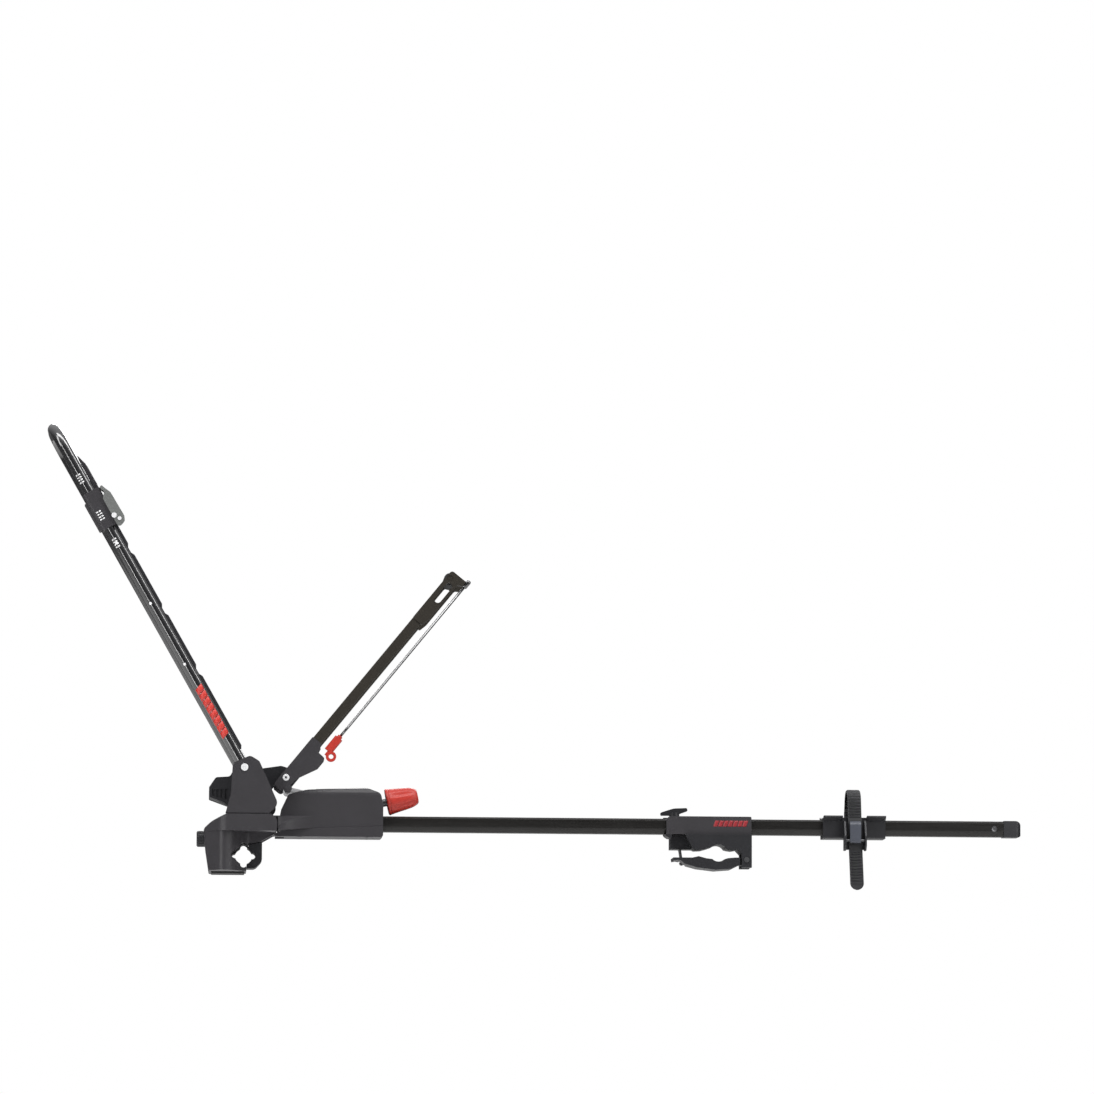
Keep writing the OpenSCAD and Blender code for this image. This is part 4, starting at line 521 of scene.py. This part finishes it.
def fluted_knob():
    """The spun grip with its flutes pressed in, on the spindle's axis."""
    shape = turned(KNOB_PROFILE, 96, Matrix.Identity(4))
    for v in shape.verts:
        radius = math.hypot(v.co.y, v.co.z)
        if FLUTE_FROM < v.co.x < FLUTE_TO and radius > BORE_SIDE:
            wave = max(0.0, math.cos(FLUTES * math.atan2(v.co.y, v.co.z) + FLUTE_PHASE)) ** FLUTE_NOSE
            fade = math.sin(math.pi * (v.co.x - FLUTE_FROM) / (FLUTE_TO - FLUTE_FROM)) ** FLUTE_FADE
            share = 1 - FLUTE_DEPTH * wave * fade / radius
            v.co.y *= share
            v.co.z *= share
    bmesh.ops.transform(shape, matrix=SPINDLE, verts=shape.verts)
    return shape


dress("tension_knob_fluted", fluted_knob(), body_of_node["tension_knob"], "red_plastic", "tension_knob")
print("knob in mm: long", KNOB_PROFILE[-1][0] - KNOB_PROFILE[2][0], "wide", 2 * max(r for _, r in KNOB_PROFILE))

# %% [markdown]
# The wheel meets a rubber roller between the tips of the rear arm. Its ribs go round it, so its profile is
# a row of shallow waves that is spun round the cross rod.

# %% Rear tyre pad
PAD_HALF, PAD_R, PAD_BORE, RIB_PITCH, RIB_DEPTH = 38.8, 10.0, 5.03, 4.0, 0.7
PAD_ALONG, PAD_RISE, PAD_EDGE, RIB_POINTS = 428.0, 1.5, 1.0, 6


def ribbed_profile():
    """The roller's half section, from one end of the bore round the ribs to the other."""
    count = int(2 * PAD_HALF / RIB_PITCH * RIB_POINTS)
    line = [(-PAD_HALF, PAD_BORE), (-PAD_HALF, PAD_R - PAD_EDGE)]
    for i in range(1, count):
        along = -PAD_HALF + 2 * PAD_HALF * i / count
        wave = max(0.0, math.cos(math.tau * along / RIB_PITCH)) ** 2
        line.append((along, PAD_R - RIB_DEPTH * wave))
    return line + [(PAD_HALF, PAD_R - PAD_EDGE), (PAD_HALF, PAD_BORE), (-PAD_HALF, PAD_BORE)]


across = rear_arm @ Matrix.Translation((PAD_ALONG, 0, PAD_RISE)) @ Matrix.Rotation(math.pi / 2, 4, "Z")
dress("rear_tyre_pad_ribbed", turned(ribbed_profile(), 40, across), body_of_node["rear_tyre_pad"],
      "black_rubber", "rear_tyre_pad")
print("ribs:", int(2 * PAD_HALF / RIB_PITCH))

# %% [markdown]
# The ladder strap is a moulded rubber band with steps across it, which the buckle grips one by one. It
# starts in an eye round the anchor pin, goes over the rim's place in a loop, runs down behind the buckle
# and ends in a loose round tail. The band starts as one six-sided face, and is extruded along that route in
# short steps. The two upper corners of the section are lifted where a step lies, and the section narrows to
# a round end.

# %% Ladder strap
STRAP_X, STRAP_LEAN, STRAP_W, STRAP_T = 1013.0, 3.3, 22.5, 2.6
STEP_PITCH, STEP_RISE = 5.0, 1.7
STEP_PARTS, STEPS_ABOVE, STEPS_BELOW, STEPS_INSIDE, PLAIN_TAIL = 4, 70, 12, 26, 8
LEAN_FROM, LEAN_OVER = 64, 114
BAND_LAND, BAND_EDGE, EYE_EDGE, TIP_FLOOR = 2, 0.35, 0.3, 0.02
ANCHOR = (31.0, 52.0)
LOOP_R, LOOP_Z, LOOP_ANGLES = 22.7, 94, [math.radians(a) for a in range(8, 173, 12)]
# Points of the route, across the carrier and up
STRAP_ROUTE = ([(31.0, 55.5), (30.0, 80.0)]
               + [(LOOP_R * math.cos(a), LOOP_Z + LOOP_R * math.sin(a)) for a in LOOP_ANGLES]
               + [(-27.0, 74.0), (-29.3, 64.0), (-29.3, 12.0), (-34.0, -38.75), (-35.05, -50.0)])


def even_route(route, spacing):
    """Points on a route at an even spacing, with its corners eased."""
    points = [Vector(p) for p in route]
    even = [points[0]]
    for a, b in zip(points, points[1:]):
        while (b - even[-1]).length > spacing and (b - even[-1]).dot(b - a) > 0:
            even.append(even[-1] + (b - even[-1]).normalized() * spacing)
    for _ in range(6):
        even = [even[0]] + [(p + 2 * q + r) / 4 for p, q, r in zip(even, even[1:], even[2:])] + [even[-1]]
    return even


def strap_station(points, i):
    """Place of the band's section on the route: across, outwards, onwards."""
    ahead = (points[min(i + 1, len(points) - 1)] - points[max(i - 1, 0)]).normalized()
    middle = points[i]
    lean = STRAP_LEAN * max(0.0, min(1.0, (LEAN_FROM - middle.y) / LEAN_OVER)) if middle.x < 0 else 0.0
    turn = Matrix(((1, 0, 0), (0, ahead.y, -ahead.x), (0, ahead.x, ahead.y))).transposed().to_4x4()
    return Matrix.Translation((STRAP_X + lean, middle.x, middle.y)) @ turn


def ladder_strap():
    """The band with its steps, and how many steps it has."""
    points = even_route(STRAP_ROUTE, STEP_PITCH / STEP_PARTS)
    half, skin = STRAP_W / 2, STRAP_T / 2
    land = half - BAND_LAND
    section = ((-half, -skin), (-half, skin), (-land, skin), (land, skin), (half, skin), (half, -skin))
    shape = bmesh.new()
    here = strap_station(points, 0)
    ring = [shape.verts.new(here @ Vector((x, n, 0))) for x, n in section]
    end = bmesh.ops.contextual_create(shape, geom=ring)["faces"]
    rise, width, steps = 0.0, 1.0, 0
    for i in range(1, len(points)):
        there = strap_station(points, i)
        grown = bmesh.ops.extrude_face_region(shape, geom=end)["geom"]
        end = [g for g in grown if isinstance(g, bmesh.types.BMFace)]
        ring = [g for g in grown if isinstance(g, bmesh.types.BMVert)]
        bmesh.ops.transform(shape, matrix=here.inverted(), verts=ring)
        height = points[i].y
        over_loop = height > STEPS_ABOVE and points[i].x < STEPS_INSIDE
        stepped = (over_loop or height < STEPS_BELOW) and i < len(points) - PLAIN_TAIL
        lift = STEP_RISE if stepped and i % STEP_PARTS >= STEP_PARTS / 2 else 0.0
        left = (len(points) - 1 - i) * STEP_PITCH / STEP_PARTS
        shrink = math.sqrt(max(TIP_FLOOR, 1 - (1 - left / half) ** 2)) if left < half else 1.0
        raised = [v for v in ring if v.co.y > skin * 0.5 and abs(v.co.x) < (half - 1) * width]
        bmesh.ops.translate(shape, verts=raised, vec=(0, lift - rise, 0))
        bmesh.ops.scale(shape, verts=ring, vec=(shrink / width, 1, 1))
        steps += 1 if lift > rise else 0
        rise, width, here = lift, shrink, there
        bmesh.ops.transform(shape, matrix=here, verts=ring)
    bmesh.ops.recalc_face_normals(shape, faces=shape.faces)
    bmesh.ops.scale(shape, verts=shape.verts, vec=(MM, MM, MM))
    return shape, steps


band, step_count = ladder_strap()
eye_place = Matrix.Scale(MM, 4) @ Matrix.Translation((STRAP_X, ANCHOR[0], ANCHOR[1]))
EYE = ((-STRAP_W / 2, 2.55), (-STRAP_W / 2, 5.0), (-STRAP_W / 2 + 0.6, 5.1), (STRAP_W / 2 - 0.6, 5.1),
       (STRAP_W / 2, 5.0), (STRAP_W / 2, 2.55), (-STRAP_W / 2, 2.55))
strap_body = body_of_node["ladder_strap"]
roll_edges(dress("ladder_strap_band", band, strap_body, "strap_rubber", "ladder_strap"), BAND_EDGE, 2)
roll_edges(dress("ladder_strap_eye", turned(EYE, 32, eye_place), strap_body, "strap_rubber"), EYE_EDGE, 2)
print("strap steps:", step_count)

# %% [markdown]
# Printed marks come last. Two places carry a plain hatch of red dashes and three a small block of white
# index bars, with no words. Each dash is a small grid that is scaled, sheared and, on a round tube, bent to
# the tube's curve. A Solidify modifier gives it the thickness of a film.

# %% Printed marks
FILM = 0.06
LEG_SIDE, LEG_R, SLEEVE_SIDE = -64.6, 10.0, -77.5
# Each hatch: start, end, low, high, dashes, slant, slit. Each index block: along the arm, and up from its axis
LEG_HATCH = (60, 154, -9.6, 5.6, 8, 0.35, 1.1)
HOUSING_HATCH = (779, 835, 55, 65, 7, 0.35, 1.0)
LEG_BLOCKS = {"upper_index_bars": (549.4, -4.2), "lower_index_bars": (427.5, -4.2)}
SLEEVE_BLOCK = (479.4, -4.0)
BAR_ROWS, BAR_PITCH, BAR_SHIFT, BAR_SIZE = 4, 4.6, 2.5, (2.3, 3.6)
INKS = {
    "label_red": ((0.52, 0.030, 0.022), (0.60, 0.040, 0.029), 0.42),
    "dull_red": ((0.25, 0.010, 0.016), (0.30, 0.015, 0.022), 0.45),
    "print_white": ((0.72, 0.72, 0.72), (0.82, 0.82, 0.82), 0.45),
}
PRINTS = {ink: finish(ink, *recipe, 0.05, 700, 0.00004) for ink, recipe in INKS.items()}


def dash(shape, middle, size, slant, cells=(2, 6)):
    """One flat dash of a hatch, in millimetres along and up."""
    place = Matrix.Translation((middle[0], middle[1], 0))
    lean = Matrix.Identity(4)
    lean[0][1] = slant
    grid = bmesh.ops.create_grid(shape, x_segments=cells[0], y_segments=cells[1], size=0.5)["verts"]
    bmesh.ops.transform(shape, matrix=place @ lean @ Matrix.Diagonal((size[0], size[1], 1, 1)), verts=grid)


def print_film(name, shape, place, body, slot, look):
    """Puts flat marks in place as a thin film that rides on a body."""
    bmesh.ops.transform(shape, matrix=place, verts=shape.verts)
    piece = dress(name, shape, body, slot, look=PRINTS[look])
    film = piece.modifiers.new("film", "SOLIDIFY")
    film.thickness = FILM * MM
    film.offset = 0
    return piece


def bend_to_leg(shape):
    """Wraps flat marks (along, round the tube) on the outer side of the left leg."""
    for v in shape.verts:
        angle = v.co.y / LEG_R
        reach = LEG_R + FILM
        v.co = Vector((v.co.x, LEG_SIDE - reach * math.cos(angle), -reach * math.sin(angle)))


def hatch(start, end, low, high, count, slant, slit):
    """A row of slanted dashes with slits between them."""
    shape = bmesh.new()
    step = (end - start) / count
    for i in range(count):
        dash(shape, (start + (i + 0.5) * step, (low + high) / 2), (step - slit, high - low), slant)
    return shape


def index_block(along, up):
    """Two columns of short bars."""
    shape = bmesh.new()
    for column in (-1, 1):
        for row in range(BAR_ROWS):
            middle = (along + (row - (BAR_ROWS - 1) / 2) * BAR_PITCH, up + column * BAR_SHIFT)
            dash(shape, middle, BAR_SIZE, 0, (1, 3))
    return shape


leg_label = hatch(*LEG_HATCH)
bend_to_leg(leg_label)
print_film("leg_hatch", leg_label, front_arm, body_of_node["hoop_tube"], "gloss_black_paint", "label_red")
for name, spot in LEG_BLOCKS.items():
    block = index_block(*spot)
    bend_to_leg(block)
    print_film(name, block, front_arm, body_of_node["hoop_tube"], "gloss_black_paint", "print_white")
upright_side = Matrix(((1, 0, 0, 0), (0, 0, -1, 0), (0, 1, 0, 0), (0, 0, 0, 1)))
flip = Matrix.Diagonal((1, 1, -1, 1))
sleeve_side = front_arm @ Matrix.Translation((0, SLEEVE_SIDE - FILM, 0)) @ flip @ upright_side
print_film("sleeve_index_bars", index_block(*SLEEVE_BLOCK), sleeve_side, body_of_node["left_stop_sleeve"],
           "charcoal_plastic", "print_white")
housing_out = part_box("mid_housing")[0][1] / MM - FILM
housing_side = Matrix.Scale(MM, 4) @ Matrix.Translation((0, housing_out, 0)) @ upright_side
print_film("housing_hatch", hatch(*HOUSING_HATCH), housing_side, body_of_node["mid_housing"],
           "charcoal_plastic", "dull_red")
print("prints:", len(PRINTS))

# %% [markdown]
# Looks must not change a size. The last step brings the view layer up to date.

# %% Bring the scene up to date
bpy.context.view_layer.update()
